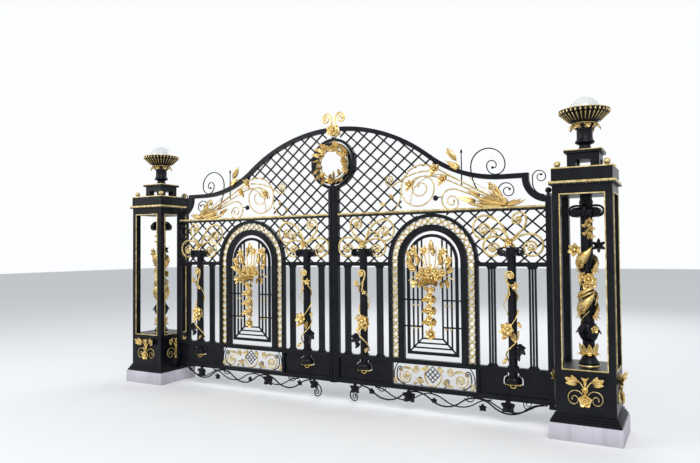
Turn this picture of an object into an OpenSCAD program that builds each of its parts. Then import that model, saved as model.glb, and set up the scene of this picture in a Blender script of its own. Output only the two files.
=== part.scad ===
// Double-leaf wrought iron driveway gate between two open box posts

/* [Gateway] */
// Clear width between the posts
opening_w = 4600; // [4200:50:5200]
// Height of the leaves above the ground
leaf_bottom = 210; // [180:5:260]
// Gap between the two meeting stiles
leaf_gap = 8; // [6:1:20]
// Gap between a post and its hinge stile
hinge_gap = 50; // [45:1:80]

/* [Leaf frame] */
// Depth of stiles and rails
frame_d = 48; // [40:1:60]
// Width of the hinge stile
hinge_stile_w = 50; // [40:1:60]
// Half width of the octagonal tube that the meeting stiles form
meet_stile_w = 58; // [50:1:66]
// Height of the bottom rail
low_rail_h = 47; // [40:1:60]
// Height of the closed lower panels
panel_h = 212; // [200:1:260]
// Thickness of the closed lower panels
panel_t = 6; // [4:1:10]
// Height of the middle rail
mid_rail_h = 46; // [40:1:60]
// Height of the pickets, from middle rail to cross rail
picket_h = 920; // [850:10:1000]
// Height of the cross rail
cross_rail_h = 40; // [30:1:50]
// Height of the frieze between cross rail and band rail
frieze_h = 475; // [430:5:520]
// Height of the iron band rail
band_rail_h = 22; // [18:1:30]
// Height of the gilded moulding on the band rail
band_trim_h = 18; // [14:1:24]

/* [Top rail] */
// Height of the shoulder above the band rail
shoulder_h = 300; // [285:5:340]
// Rise from the shoulder to the crown
crown_h = 625; // [560:5:680]
// Length of the level shoulder
shoulder_l = 241; // [200:1:280]
// Share of the S-curve taken by its upper arc
crown_share = 0.61; // [0.55:0.01:0.65]
// Height of the top rail's face
top_rail_h = 45; // [35:1:55]
// Depth of the top rail
top_rail_d = 44; // [36:1:48]
// Inner radius of the quarter-circle end
end_r = 170; // [150:1:180]
// Width of the quarter-circle end
end_w = 60; // [50:1:66]
// Radius of the ball on the hinge stile
stile_ball_r = 28; // [22:1:32]

/* [Arch] */
// Outer half width of the arch
arch_r = 466; // [440:1:490]
// Distance of the arch from the leaf's middle, toward the gate's centre
arch_shift = 22; // [0:1:40]
// Width of the outer frame
arch_bar = 34; // [28:1:42]
// Width of the band of rings
chain_w = 72; // [66:1:80]
// Width of the inner frame
arch_inner_bar = 64; // [56:1:72]
// Depth of the arch frames
arch_d = 44; // [36:1:48]
// Depth of the rings
ring_d = 16; // [12:1:24]

/* [Window grille] */
// Outer half width of the loop bar
loop_r = 267; // [250:1:275]
// Width of the loop bar
loop_bar = 30; // [24:1:34]
// Height of the loop bar above the middle rail
loop_lift = 52; // [44:1:60]
// Width of the nested bars
nest_bar = 14; // [10:1:18]
// Spacing of the nested bars
nest_pitch = 46; // [40:1:50]
// Depth of the grille
grille_d = 16; // [12:1:24]

/* [Lattice] */
// Width of one diamond
cell_w = 153; // [130:1:180]
// Height of one diamond
cell_h = 133; // [115:1:155]
// Width of the lattice bars
lattice_bar = 15; // [10:1:18]
// Depth of the lattice
lattice_d = 12; // [8:1:16]

/* [Pickets and columns] */
// Width of one picket
picket_w = 17; // [14:1:20]
// Depth of a picket
picket_d = 20; // [14:1:24]
// Slit between the pickets of a group
picket_slit = 9; // [7:1:12]
// Spread of the flared picket feet
picket_flare = 16; // [10:1:20]
// Distance of a picket group from the column
picket_off = 187; // [175:1:195]
// Radius of the leaf columns
column_r = 40; // [34:1:44]
// Half width of the volute capitals
capital_w = 122; // [110:1:130]
// Height of the capitals' underside above the cross rail
capital_lift = 55; // [45:1:70]
// Height of the volute capitals
capital_h = 84; // [76:1:92]
// Radius of the bell under each column
bell_r = 80; // [70:1:88]
// Gap round the bell in its panel
bell_gap = 11; // [8:1:14]

/* [Scroll work] */
// Width of the bent bars of the scroll work
scroll_bar = 12; // [9:1:15]
// Depth of the bent bars
scroll_d = 12; // [9:1:15]
// Radius of the big curl that ends the lattice
curl_r = 232; // [215:1:245]
// Gap between that curl and the top rail
curl_gap = 118; // [100:1:130]
// Depth of the wave under the leaf
wave_h = 112; // [100:1:130]
// Radius of the black scroll on the shoulder
perch_r = 164; // [150:1:175]
// Height of the scrolls on the crown
crest_h = 155; // [140:1:170]

/* [Crown ring] */
// Drop of the ring's centre below the crown
ring_drop = 390; // [360:5:400]
// Outer radius of the ring
ring_r = 225; // [215:1:235]
// Width of the ring
ring_w = 35; // [28:1:42]
// Clearance between the ring and the leaf beside it
crown_gap = 15; // [12:1:18]
// Width of the arc round the ring
arc_w = 30; // [24:1:34]
// Radius of the rosette's boss
boss_r = 70; // [62:1:76]
// Depth of the boss
boss_d = 60; // [50:1:70]
// Width of the neck that joins the ring to its stile and the boss
ring_neck_w = 30; // [24:1:40]

/* [Hinges] */
// Radius of the hinge pins
pin_r = 10; // [8:0.5:12]
// Height of the bottom pin
pin_h = 45; // [36:1:55]
// Height of the bottom bracket
bracket_h = 30; // [24:1:34]
// Width of the brackets
bracket_w = 44; // [36:1:48]
// Gap between the bottom bracket and the leaf
bracket_gap = 6; // [5:1:8]
// Gap above and below the top strap
strap_gap = 5; // [5:1:7]

/* [Posts] */
// Side of the post shaft
shaft_w = 480; // [440:5:540]
// Overhang of the plinth
plinth_over = 50; // [40:1:60]
// Height of the plinth
plinth_h = 140; // [100:5:160]
// Height of each step of the base moulding
step_h = 23; // [18:1:26]
// Height of the closed lower box
box_h = 381; // [340:5:420]
// Width of the corner bars
corner_w = 65; // [55:1:75]
// Height of the open window
window_h = 1465; // [1350:5:1550]
// Height of the architrave
architrave_h = 75; // [60:1:90]
// Height of the scalloped strip
dentil_h = 40; // [34:1:46]
// Teeth of the scalloped strip
dentil_n = 19; // [9:1:23]
// Height of the box cap
cap_h = 117; // [95:1:130]
// Overhang of the architrave and the scalloped strip
head_over = 26; // [15:1:30]
// Radius of the cap's corner balls
cap_ball_r = 28; // [24:1:32]
// Width of the gold line round the windows
edge_w = 9; // [7:1:12]
// Depth of the gold line round the windows
edge_d = 6; // [4:1:8]
// Radius of the column inside the post
post_column_r = 50; // [42:1:56]

/* [Urn and lamp] */
// Width of the urn's table
table_w = 262; // [240:1:290]
// Height of the urn's table
table_h = 158; // [140:1:180]
// Height of the urn from its foot to its rim
urn_h = 354; // [330:1:380]
// Radius of the urn's neck
neck_r = 68; // [60:1:74]
// Radius of the urn's rim
rim_r = 212; // [200:1:225]
// Radius of the lamp globe
globe_r = 136; // [125:1:145]

/* [Hidden] */
$fn = 48;
iron = "#15171c";
gold = "#c9a24b";
pale_gold = "#cfc08f";
// Widths across one leaf, from the middle of the gateway outward
gate_x = opening_w / 2 + shaft_w / 2;
meet_x = meet_stile_w;
hinge_x = opening_w / 2 - hinge_gap;
inner_x = hinge_x - hinge_stile_w;
pivot_x = hinge_x - hinge_stile_w / 2;
arch_x = (meet_x + inner_x) / 2 - arch_shift;
bay_x0 = [meet_x, arch_x + arch_r];
bay_w = [arch_x - arch_r - meet_x, inner_x - arch_x - arch_r];
bay_xs = bay_x0 + bay_w / 2;
// Heights, from the ground up
low_z = leaf_bottom + low_rail_h;
mid_z = low_z + panel_h;
sill_z = mid_z + mid_rail_h;
cross_z = sill_z + picket_h;
frieze_z = cross_z + cross_rail_h;
band_z = frieze_z + frieze_h;
trim_z = band_z + band_rail_h;
field_z = trim_z + band_trim_h;
shoulder_z = field_z + shoulder_h;
crown_z = shoulder_z + crown_h;
spring_z = band_z - arch_r;
// The top rail is two arcs that meet at turn_x
level_x = pivot_x - end_r - shoulder_l;
s_turn = 2 * atan(crown_h / level_x);
s_sum = level_x / sin(s_turn);
crown_r = s_sum * crown_share;
dip_r = s_sum - crown_r;
turn_x = crown_r * sin(s_turn);
end_z = shoulder_z - top_rail_h;
neck_z = end_z - end_r;
neck_h = 20;
ball_z = neck_z + neck_h + stile_ball_r - 2;
// Rings of the arch
chain_r = arch_r - arch_bar - chain_w / 2;
window_r = arch_r - arch_bar - chain_w - arch_inner_bar;
leg_h = spring_z - sill_z;
ring_n = round(leg_h / (chain_w - 1));
ring_pitch = leg_h / ring_n;
arc_n = round(180 / (2 * asin(ring_pitch / 2 / chain_r)));
// Crown
ring_z = crown_z - ring_drop;
arc_r = ring_r + crown_gap + arc_w;
boss_z = crown_z - 38;
boss_gap = boss_r + crown_gap;
stile_top = ring_z - arc_r + 6;
// Big curl beside the lattice
curl_x = turn_x - 80;
under_curl = crown_z - crown_r + sqrt(pow(crown_r - top_rail_h, 2) - curl_x * curl_x);
curl_z = under_curl - curl_gap - curl_r;
spray_x = inner_x - 1.55 * curl_r;
// Columns of the leaves
capital_z = frieze_z + capital_lift;
bell_h = 97;
hub_x = -10;
hub_z = frieze_z + 0.4 * frieze_h;
// Posts
step_z = plinth_h;
box_z = step_z + 3 * step_h;
window_z = box_z + box_h;
head_z = window_z + window_h;
dentil_z = head_z + architrave_h;
cap_z = dentil_z + dentil_h;
table_z = cap_z + cap_h;
urn_z = table_z + table_h;
bowl_floor = 0.73 * urn_h;
bend_step = 15;
long_step = 2.5;
long_r = 600;

// Points and headings along a bent bar: each step is [radius, turn to the left], or [0, length]
function walk(path, at = [0, 0], dir = 0, i = 0) =
  i >= len(path) ? [[at.x, at.y, dir]]
  : path[i][0] == 0 ? concat([[at.x, at.y, dir]], walk(path, at + path[i][1] * [cos(dir), sin(dir)], dir, i + 1))
  : let (r = path[i][0], a = path[i][1], s = sign(a), n = ceil(abs(a) / (r > long_r ? long_step : bend_step)))
    let (c = at + s * r * [-sin(dir), cos(dir)])
    concat([for (k = [0:n - 1]) let (d = dir + a * k / n) [c.x + s * r * sin(d), c.y - s * r * cos(d), d]],
      walk(path, c + s * r * [sin(dir + a), -cos(dir + a)], dir + a, i + 1));

function beside(points, off) = [for (p = points) [p[0] - off * sin(p[2]), p[1] + off * cos(p[2])]];

function backwards(list) = [for (i = [len(list) - 1:-1:0]) list[i]];

// One wave of a bar that hangs below its start and comes back up
function wave(long, high) =
  let (bend = 2 * atan(2 * high / long), r = long / (4 * sin(bend)))
  [[r, -bend], [r, 2 * bend], [r, -bend]];

// Half turns of shrinking radius that roll a bar up
function coil(r, halves, turn = 180, shrink = 0.66) = [for (i = [0:halves - 1]) [r * pow(shrink, i), turn]];

module bent(path, wide = scroll_bar, at = [0, 0], dir = 0) {
  points = walk(path, at, dir);
  polygon(concat(beside(points, -wide / 2), backwards(beside(points, wide / 2))));
}

// The same bar and its mirror image about the drawing's upright axis
module bent_pair(path, wide = scroll_bar, at = [0, 0], dir = 0) {
  bent(path, wide, at, dir);
  bent([for (p = path) [p[0], p[0] == 0 ? p[1] : -p[1]]], wide, [-at.x, at.y], 180 - dir);
}

// Stands a drawing of the front up, from depth y0 to y1
module upright(y0, y1) {
  translate([0, y1, 0]) rotate([90, 0, 0]) linear_extrude(y1 - y0) children();
}

module centred(depth) {
  upright(-depth / 2, depth / 2) children();
}

module right() {
  translate([gate_x, 0, 0]) children();
}

module left() {
  translate([gate_x, 0, 0]) mirror([1, 0, 0]) children();
}

module each_post() {
  for (side = [0, 1]) translate([side * 2 * gate_x, 0, 0]) children();
}

// The four faces or corners of a post
module around(n = 4, start = 0) {
  for (i = [0:n - 1]) rotate(start + i * 360 / n) children();
}

module each_bay() {
  translate([bay_xs[0], 0, 0]) mirror([1, 0, 0]) children();
  translate([bay_xs[1], 0, 0]) children();
}

module leaf_shape(length, wide) {
  r = (length * length / 4 + wide * wide / 4) / wide;
  translate([length / 2, 0]) intersection() {
    translate([0, r - wide / 2]) circle(r);
    translate([0, wide / 2 - r]) circle(r);
  }
}

module blossom(r, petals = 5) {
  for (i = [0:petals - 1]) rotate(i * 360 / petals) translate([r * 0.58, 0]) circle(r * 0.42);
  circle(r * 0.4);
}

// Frame of the leaf

module stiles() {
  color(iron) {
    translate([inner_x, -frame_d / 2, leaf_bottom]) difference() {
      cube([hinge_stile_w, frame_d, neck_z - end_w - leaf_bottom]);
      translate([hinge_stile_w / 2, frame_d / 2, -1]) cylinder(r = pin_r + 1, h = pin_h + 2);
    }
    translate([pivot_x, 0, neck_z]) cylinder(r = pin_r, h = neck_h + 2);
    translate([pivot_x, 0, ball_z]) sphere(stile_ball_r);
    meeting_stile();
  }
}

module meeting_stile() {
  face = frame_d / 2;
  translate([0, 0, leaf_bottom]) linear_extrude(stile_top - leaf_bottom) polygon([
    [leaf_gap / 2, -meet_stile_w], [face, -meet_stile_w], [meet_stile_w, -face],
    [meet_stile_w, face], [face, meet_stile_w], [leaf_gap / 2, meet_stile_w]]);
}

module rails() {
  span = inner_x - meet_x;
  color(iron) {
    centred(frame_d) {
      translate([meet_x, leaf_bottom]) square([span, low_rail_h]);
      translate([meet_x, mid_z]) square([span, mid_rail_h]);
      translate([meet_x, band_z]) square([span, band_rail_h]);
    }
    difference() {
      centred(frame_d - 8) for (i = [0, 1]) translate([bay_x0[i], cross_z]) square([bay_w[i], cross_rail_h]);
      for (x = bay_xs) translate([x, 0, cross_z - 1]) cylinder(r = column_r, h = cross_rail_h + 2);
    }
  }
}

module band_trim() {
  span = inner_x - meet_x;
  lip = 4;
  n = floor(span / 34);
  pitch = span / n;
  color(gold) {
    centred(frame_d + 2 * lip) translate([meet_x, trim_z]) square([span, band_trim_h]);
    for (y = [-frame_d / 2 - lip, frame_d / 2]) upright(y, y + lip) for (i = [0:n - 1])
      translate([meet_x + (i + 0.5) * pitch, trim_z]) intersection() {
        circle(pitch * 0.42);
        translate([-pitch / 2, -pitch]) square([pitch, pitch + lip]);
      }
  }
}

// The S-curved rail, then with its quarter-circle end and cut round the boss
module s_rail() {
  bent([[crown_r - top_rail_h / 2, -s_turn], [dip_r + top_rail_h / 2, s_turn], [0, shoulder_l]],
    top_rail_h, [0, crown_z - top_rail_h / 2]);
}

module top_rail_shape(boss_cut) {
  difference() {
    s_rail();
    translate([0, boss_z]) circle(boss_cut);
  }
  translate([pivot_x, end_z]) intersection() {
    difference() {
      circle(end_r + end_w);
      circle(end_r);
      translate([-pin_r - 1, -end_r]) square([pin_r + 1, 2]);
    }
    translate([-end_r - end_w, -end_r - end_w]) square(end_r + end_w);
  }
  translate([pivot_x - end_r - end_w, end_z - 2]) square([end_w, top_rail_h + 2]);
  translate([pivot_x, neck_z - end_w]) square([hinge_stile_w / 2, end_w]);
}

// Half ring of iron that the crown ring sits in
module ring_arc(start_x) {
  translate([0, ring_z]) intersection() {
    translate([0, stile_top - ring_z]) square([arc_r, 2 * arc_r]);
    difference() {
      circle(arc_r);
      circle(arc_r - arc_w);
    }
    union() {
      translate([start_x, -arc_r]) square(arc_r);
      translate([ring_neck_w / 2 + crown_gap, 0]) square(arc_r);
    }
  }
}

module left_top_rail() {
  color(iron) left() centred(top_rail_d) {
    top_rail_shape(boss_r);
    ring_arc(ring_neck_w);
  }
}

module right_top_rail() {
  color(iron) right() centred(top_rail_d) {
    top_rail_shape(boss_gap);
    ring_arc(leaf_gap / 2);
  }
}

// Lattice

module diamonds(wide, high) {
  slope = atan(cell_h / cell_w);
  reach = ceil((high + wide * cell_h / cell_w) / cell_h);
  long = (wide + 2 * cell_w) / cos(slope);
  for (k = [0:reach]) {
    translate([0, k * cell_h]) rotate(-slope) translate([-lattice_bar, -lattice_bar / 2]) square([long, lattice_bar]);
    translate([0, high - k * cell_h]) rotate(slope) translate([-lattice_bar, -lattice_bar / 2]) square([long, lattice_bar]);
  }
}

module upper_field() {
  bar = scroll_bar / 2;
  difference() {
    intersection() {
      translate([leaf_gap / 2, field_z]) square([turn_x - leaf_gap / 2, crown_z - field_z]);
      translate([0, crown_z - crown_r]) circle(crown_r - top_rail_h / 2, $fn = 180);
    }
    s_rail();
    translate([curl_x, curl_z]) circle(curl_r + bar);
    translate([curl_x - curl_r - bar, field_z - 1]) square([curl_r + turn_x, curl_z - field_z + 1]);
    translate([curl_x, field_z - 1]) square([turn_x, curl_z + curl_r - field_z]);
    translate([0, ring_z]) circle(arc_r);
    translate([-1, field_z - 1]) square([meet_x + 1, ring_z - field_z]);
    translate([-1, ring_z]) square([boss_gap + 1, crown_z - ring_z]);
  }
}

module frieze_field() {
  difference() {
    translate([meet_x, frieze_z]) square([inner_x - meet_x, frieze_h]);
    translate([arch_x, spring_z]) circle(arch_r);
    translate([arch_x - arch_r / 3, band_z - 40]) square([arch_r / 1.5, 41]);
    translate([arch_x - arch_r, frieze_z - 1]) square([2 * arch_r, max(spring_z - frieze_z, 0) + 1]);
    for (x = bay_xs) translate([x - column_r, frieze_z - 1]) square([2 * column_r, capital_lift + capital_h + 1]);
  }
}

module lattice() {
  color(iron) centred(lattice_d) {
    intersection() {
      upper_field();
      translate([meet_x, field_z]) diamonds(turn_x, crown_z - field_z);
    }
    intersection() {
      frieze_field();
      translate([meet_x, frieze_z]) diamonds(inner_x - meet_x, frieze_h);
    }
  }
}

// Arch window

module arch_band(outer, wide) {
  translate([0, spring_z]) intersection() {
    difference() {
      circle(outer);
      circle(outer - wide);
    }
    translate([-outer, 0]) square([2 * outer, outer]);
  }
  for (x = [-outer, outer - wide]) translate([x, sill_z]) square([wide, leg_h]);
}

module arch_frames() {
  color(iron) centred(arch_d) translate([arch_x, 0]) {
    arch_band(arch_r, arch_bar);
    arch_band(window_r + arch_inner_bar, arch_inner_bar);
  }
}

module chain_ring() {
  difference() {
    circle(chain_w / 2 + 1);
    circle(chain_w / 2 - 12);
  }
  translate([ring_pitch / 2, 0]) circle(9);
}

module arch_chain() {
  step = 180 / arc_n;
  color(pale_gold) centred(ring_d) translate([arch_x, 0]) intersection() {
    union() {
      for (side = [-1, 1], i = [0:ring_n - 1]) translate([side * chain_r, sill_z + (i + 0.5) * ring_pitch]) rotate(90) chain_ring();
      for (i = [0:arc_n - 1]) translate([0, spring_z]) rotate((i + 0.5) * step) translate([chain_r, 0]) rotate(90) chain_ring();
    }
    arch_band(arch_r - arch_bar, chain_w);
  }
}

module grille_bar(r, wide, lift) {
  low = sill_z + loop_lift + lift;
  for (x = [-r, r - wide]) translate([x, low]) square([wide, spring_z - low + sqrt(pow(loop_r - loop_bar / 2, 2) - r * r)]);
  translate([-r, low]) square([2 * r, wide]);
}

module grille() {
  low = sill_z + loop_lift;
  color(iron) centred(grille_d) translate([arch_x, 0]) {
    translate([0, spring_z]) intersection() {
      difference() {
        circle(loop_r);
        circle(loop_r - loop_bar);
      }
      translate([-loop_r, 0]) square([2 * loop_r, loop_r]);
    }
    for (x = [-loop_r, loop_r - loop_bar]) translate([x, low]) square([loop_bar, spring_z - low]);
    translate([-loop_r, low]) square([2 * loop_r, loop_bar]);
    for (i = [1:3]) grille_bar(loop_r - loop_bar / 2 - i * nest_pitch, nest_bar, loop_bar / 2 + i * nest_pitch);
    for (side = [-1, 1]) {
      translate([side * (loop_r - loop_bar / 2), low + loop_bar / 2]) rotate(90 + side * 45)
        translate([0, -nest_bar / 2]) square([3.2 * nest_pitch * sqrt(2), nest_bar]);
      for (k = [0.33, 0.6])
        translate([side < 0 ? -window_r : loop_r - loop_bar / 2 - 3 * nest_pitch, sill_z + k * leg_h])
          square([window_r - loop_r + loop_bar / 2 + 3 * nest_pitch, nest_bar]);
    }
  }
}

// Bays

module pickets() {
  foot = 25;
  group = 3 * picket_w + 2 * picket_slit;
  color(iron) each_bay() centred(picket_d) for (x = [-picket_off, picket_off]) translate([x - group / 2, sill_z]) {
    for (i = [0:2]) translate([i * (picket_w + picket_slit), 0]) square([picket_w, picket_h]);
    polygon([[-picket_flare, 0], [group + picket_flare, 0], [group, foot], [0, foot]]);
    polygon([[0, picket_h - foot], [group, picket_h - foot], [group + picket_flare, picket_h], [-picket_flare, picket_h]]);
  }
}

module column() {
  eye = capital_h / 2;
  translate([0, 0, sill_z]) cylinder(r = column_r, h = capital_z + capital_h - sill_z);
  translate([0, 0, sill_z]) cylinder(r = column_r + 12, h = 14);
  for (side = [-1, 1]) upright(side < 0 ? -column_r - 4 : lattice_d / 2, side < 0 ? -lattice_d / 2 : column_r + 4)
    translate([0, capital_z]) {
      bent_pair(concat([[0, capital_w - eye + 10]], coil(eye - 6, 3, -180)), 12, [-10, capital_h - 6]);
      translate([-column_r, 0]) square([2 * column_r, capital_h]);
    }
  translate([0, 0, mid_z - bell_h]) rotate_extrude() polygon(concat([[0, 0]], bell_side(0), [[0, bell_h]]));
}

// Outline of the bell from its lip up to its neck
function bell_side(gap) = concat([[bell_r + gap, 0]],
  [for (a = [0:15:90]) [column_r + gap + (bell_r - column_r) * cos(a), bell_h * (0.3 + 0.4 * sin(a))]],
  [[column_r + gap, bell_h]]);

module columns() {
  color(iron) for (x = bay_xs) translate([x, 0, 0]) column();
}

module column_vines() {
  collar = 13;
  color(gold) {
    for (x = bay_xs) translate([x, 0, 0]) {
      upright(-panel_t / 2 - 12, -panel_t / 2) translate([0, mid_z - bell_h - bell_gap]) {
        translate([-55, -14]) square([110, 14]);
        bent([[24, 180]], 8, [-24, -14], -90);
      }
    }
    each_bay() for (k = [0.07, 0.24, 0.41, 0.58, 0.75, 0.92]) translate([0, 0, sill_z + k * picket_h]) difference() {
      union() {
        rotate([0, -38, 0]) translate([0, 0, -7]) cylinder(r = 1.35 * (column_r + collar), h = 14);
        if (k > 0.2 && k < 0.5) translate([-45, 0, 0]) upright(-column_r - collar - 8, -column_r - collar + 10) blossom(66, 6);
        if (k > 0.8) translate([40, 0, -20]) upright(-column_r - collar - 8, -column_r - collar + 10) blossom(36, 6);
      }
      difference() {
        translate([0, 0, -200]) cylinder(r = 3 * column_r, h = 400);
        translate([0, 0, -201]) cylinder(r = column_r + collar, h = 402);
        translate([-3 * column_r, -column_r - collar - 9, -120]) cube([6 * column_r, 19, 240]);
      }
      translate([0, 0, -200]) cylinder(r = column_r, h = 400);
    }
  }
}

module bay_scrolls() {
  color(pale_gold) each_bay() upright(-lattice_d / 2 - scroll_d, -lattice_d / 2) difference() {
    translate([hub_x, hub_z]) {
      bent(concat([[0, 86], [255, 52]], coil(112, 5, shrink = 0.64)), at = [-10, 6], dir = 110);
      bent(concat([[0, 128], [150, 44]], coil(64, 4, shrink = 0.62)), at = [8, 10], dir = 42);
      bent(concat([[0, 66], [185, -50]], coil(98, 5, -180)), at = [14, 2], dir = 32);
      bent(concat([[0, 40], [165, 52]], coil(88, 5)), at = [-14, -2], dir = 146);
      bent([[0, 60], [120, 50], [40, 60], [16, 150]], 9, [-6, 8], 118);
      for (a = [20, 60, 100, 140, 170]) rotate(a) leaf_shape(92, 34);
      translate([-30, -26]) square([60, 52]);
    }
    translate([-capital_w - 8, 0]) square([2 * capital_w + 16, capital_z + capital_h]);
  }
}

module bell_hole() {
  pairs = bell_side(bell_gap);
  translate([0, mid_z - bell_h]) polygon(concat([[-bell_r - bell_gap, -bell_gap], [bell_r + bell_gap, -bell_gap]],
    pairs, [for (p = backwards(pairs)) [-p.x, p.y]]));
}

module medallion() {
  half = 30;
  high = panel_h / 2 - 20;
  intersection() {
    circle(high);
    for (k = [-2:2], s = [-1, 1]) translate([k * half, 0]) rotate(s * 52) square([4 * high, 8], center = true);
  }
}

module panels() {
  open_w = arch_r - arch_bar;
  color(iron) {
    centred(panel_t) difference() {
      for (i = [0, 1]) translate([bay_x0[i], low_z]) square([bay_w[i], panel_h]);
      for (x = bay_xs) translate([x, 0]) bell_hole();
    }
    centred(arch_d) for (x = [-arch_r, arch_r - arch_bar]) translate([arch_x + x, low_z]) square([arch_bar, panel_h]);
  }
}

module scroll_panel() {
  high = panel_h;
  half = arch_r - arch_bar;
  color(pale_gold) centred(scroll_d) translate([arch_x, low_z]) intersection() {
    translate([-half, 0]) square([2 * half, high]);
    union() {
      bent_pair(concat([[0, 30], [300, -24], [95, -60]], coil(90, 6, -180, 0.74)), at = [92, -14], dir = 64);
      bent_pair(concat([[0, 30], [120, 40], [60, 60]], coil(40, 4)), 10, [116, 100], 12);
      bent_pair(concat([[0, 120], [60, -90], [150, -40]], coil(30, 2, -180)), 10, [120, high + 20], -60);
      bent_pair([[70, 80], [140, -75], [60, 90]], 11, [52, high + 2], -55);
      bent_pair([[110, -120], [0, 60]], 11, [10, -4], 40);
    }
  }
  color(iron) centred(scroll_d) translate([arch_x, low_z + high / 2]) medallion();
}

module ground_vine() {
  first = bay_xs[0] - 50;
  wave_l = (inner_x - 50 - first) / 3;
  color(iron) centred(scroll_d) intersection() {
    union() {
      bent([for (i = [0:2]) each wave(wave_l, wave_h)], at = [first, leaf_bottom - 3]);
      translate([60, 0]) bent([for (i = [0:2]) each wave(wave_l, 0.8 * wave_h)], 9, [first, leaf_bottom - 3]);
      bent([[120, 60], [70, 90], [36, 180], [24, 180]], 10, [first + 72, leaf_bottom - 14], 168);
      for (i = [0:2]) translate([first + (i + 0.32) * wave_l, leaf_bottom - 0.62 * wave_h]) {
        bent([[60, 80], [34, 180], [22, 180]], 9, [0, 10], -60);
        for (a = [150, 210, 270]) rotate(a) leaf_shape(78, 40);
      }
    }
    square([pivot_x - bracket_w, leaf_bottom]);
  }
}

module spray() {
  foot = [spray_x, field_z + 12];
  color(pale_gold) {
    upright(-scroll_d * 1.5, -scroll_d / 2) intersection() {
      union() {
        bent([[0, 799], [curl_r, 121], [176, 180], [116, 180], [76, 180], [48, 180]], at = foot, dir = 150.4);
        bent([[0, 560], [330, 60], [240, 62]], at = foot, dir = 152);
        bent([[0, 600], [620, 24], [240, 30], [120, 60]], at = foot, dir = 154.5);
        bent([[0, 470], [190, 22], [100, 180], [66, 180], [43, 180]], at = foot, dir = 158.5);
        bent([[420, -40], [260, -46], [0, 60]], at = [curl_x - curl_r + 2, curl_z + 2], dir = 262);
        for (k = [0:5]) translate(foot - [20 * k, 0]) rotate(176 - 9 * k) leaf_shape(420 - 36 * k, 60);
        translate(foot + [-30, 20]) rotate(120) leaf_shape(170, 70);
        for (p = [[85, 170], [140, 78], [-168, 38]]) translate([curl_x + p.x, curl_z + p.y]) blossom(44, 6);
        translate([curl_x + 131, curl_z - 88]) circle(26);
      }
      translate([0, field_z]) square([opening_w, crown_h]);
    }
    centred(scroll_d) difference() {
      translate([1.29 * turn_x - 60, shoulder_z + 172]) {
        rotate(125) leaf_shape(150, 62);
        bent([[0, 112]], 10, [24, -106], 101);
        translate([10, -86]) rotate(141) leaf_shape(150, 60);
      }
      s_rail();
    }
  }
}

// Black scrolls that stand on the shoulder, hang under it and fill the quarter circle
module shoulder_scrolls() {
  color(iron) centred(scroll_d) difference() {
    intersection() {
      union() {
        translate([spray_x - 263, field_z + 167]) bent(concat([[418, -32.4]], coil(perch_r, 4, -180, 0.53)), dir = 122.4);
        bent(concat([[136, -86]], coil(74, 3, -180)), at = [spray_x + 56, field_z + 5], dir = 176);
        bent(concat([[0, 8], [110, -82], [0, 53]], coil(58, 3, -180)), at = [pivot_x - 35, neck_z + 8], dir = 172);
        translate([spray_x - 426, shoulder_z - 76]) square([12, 320]);
        translate([spray_x - 420, shoulder_z + 244]) rotate(90) translate([-30, 0]) leaf_shape(60, 24);
        translate([turn_x + 39, shoulder_z + 154]) circle(20);
      }
      translate([0, field_z]) square([opening_w, crown_h]);
    }
    s_rail();
    translate([pivot_x, end_z]) difference() {
      circle(end_r + end_w);
      circle(end_r);
      translate([-2 * end_r, 0]) square(4 * end_r);
    }
  }
}

module bouquet() {
  foot_z = sill_z + 0.26 * picket_h;
  basket_z = foot_z + 0.56 * picket_h;
  pitch = 0.13 * picket_h;
  color(gold) upright(-grille_d / 2 - 24, -grille_d / 2) translate([arch_x, 0]) {
    translate([0, foot_z]) blossom(52, 6);
    translate([-8, foot_z]) square([16, basket_z - foot_z + pitch]);
    for (side = [-1, 1], k = [0:3]) translate([0, foot_z + (k + 0.9) * pitch]) rotate(90 - side * 52) leaf_shape(0.9 * pitch, 44);
    translate([0, basket_z]) {
      for (a = [24:22:156]) translate([0, -6]) rotate(a) leaf_shape(1.12 * pitch, 46);
      for (x = [-78, -25, 37, 87]) translate([x, 0.36 * pitch]) blossom(43);
      for (p = [[-1.38, 2.2], [-0.56, 2.05], [1.05, 2.02], [1.53, 1.38]]) translate(p * pitch) blossom(50, 6);
      for (p = [[-1.9, 1.5, 110], [-1.5, 0.8, 133], [-1.02, 1.23, 100], [1.8, 0.72, 52], [1.1, 1.2, 71], [-0.18, 2.3, 75]])
        translate([p.x, p.y] * pitch) rotate(p.z) translate([-8, 0]) leaf_shape(0.97 * pitch, 45);
      for (p = [[-1.38, 2.2], [-0.56, 2.05], [1.05, 2.02], [1.53, 1.38], [-1.9, 1.5], [-1.5, 0.8], [-1.02, 1.23], [1.8, 0.72], [1.1, 1.2], [-0.18, 2.3]])
        bent([[0, norm(p) * pitch]], 9, [0, 12], atan2(p.y * pitch - 12, p.x * pitch));
    }
  }
}

// Crown

module crown_ring() {
  stud = arc_r - arc_w;
  color(iron) left() centred(top_rail_d) {
    translate([0, ring_z]) {
      difference() {
        circle(ring_r);
        circle(ring_r - ring_w);
      }
      intersection() {
        difference() {
          circle(arc_r);
          circle(ring_r - 1);
        }
        translate([leaf_gap / 2, stile_top - ring_z]) square([ring_neck_w - leaf_gap / 2, arc_r]);
      }
      intersection() {
        difference() {
          circle(stud);
          circle(ring_r - 1);
        }
        for (a = [-50, 0, 50]) rotate(a) translate([0, -12]) square([stud + 1, 24]);
      }
    }
    difference() {
      translate([-ring_neck_w / 2, ring_z]) square([ring_neck_w, boss_z - ring_z]);
      translate([0, ring_z]) circle(ring_r - 1);
      translate([0, boss_z]) circle(boss_r);
    }
  }
}

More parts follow.
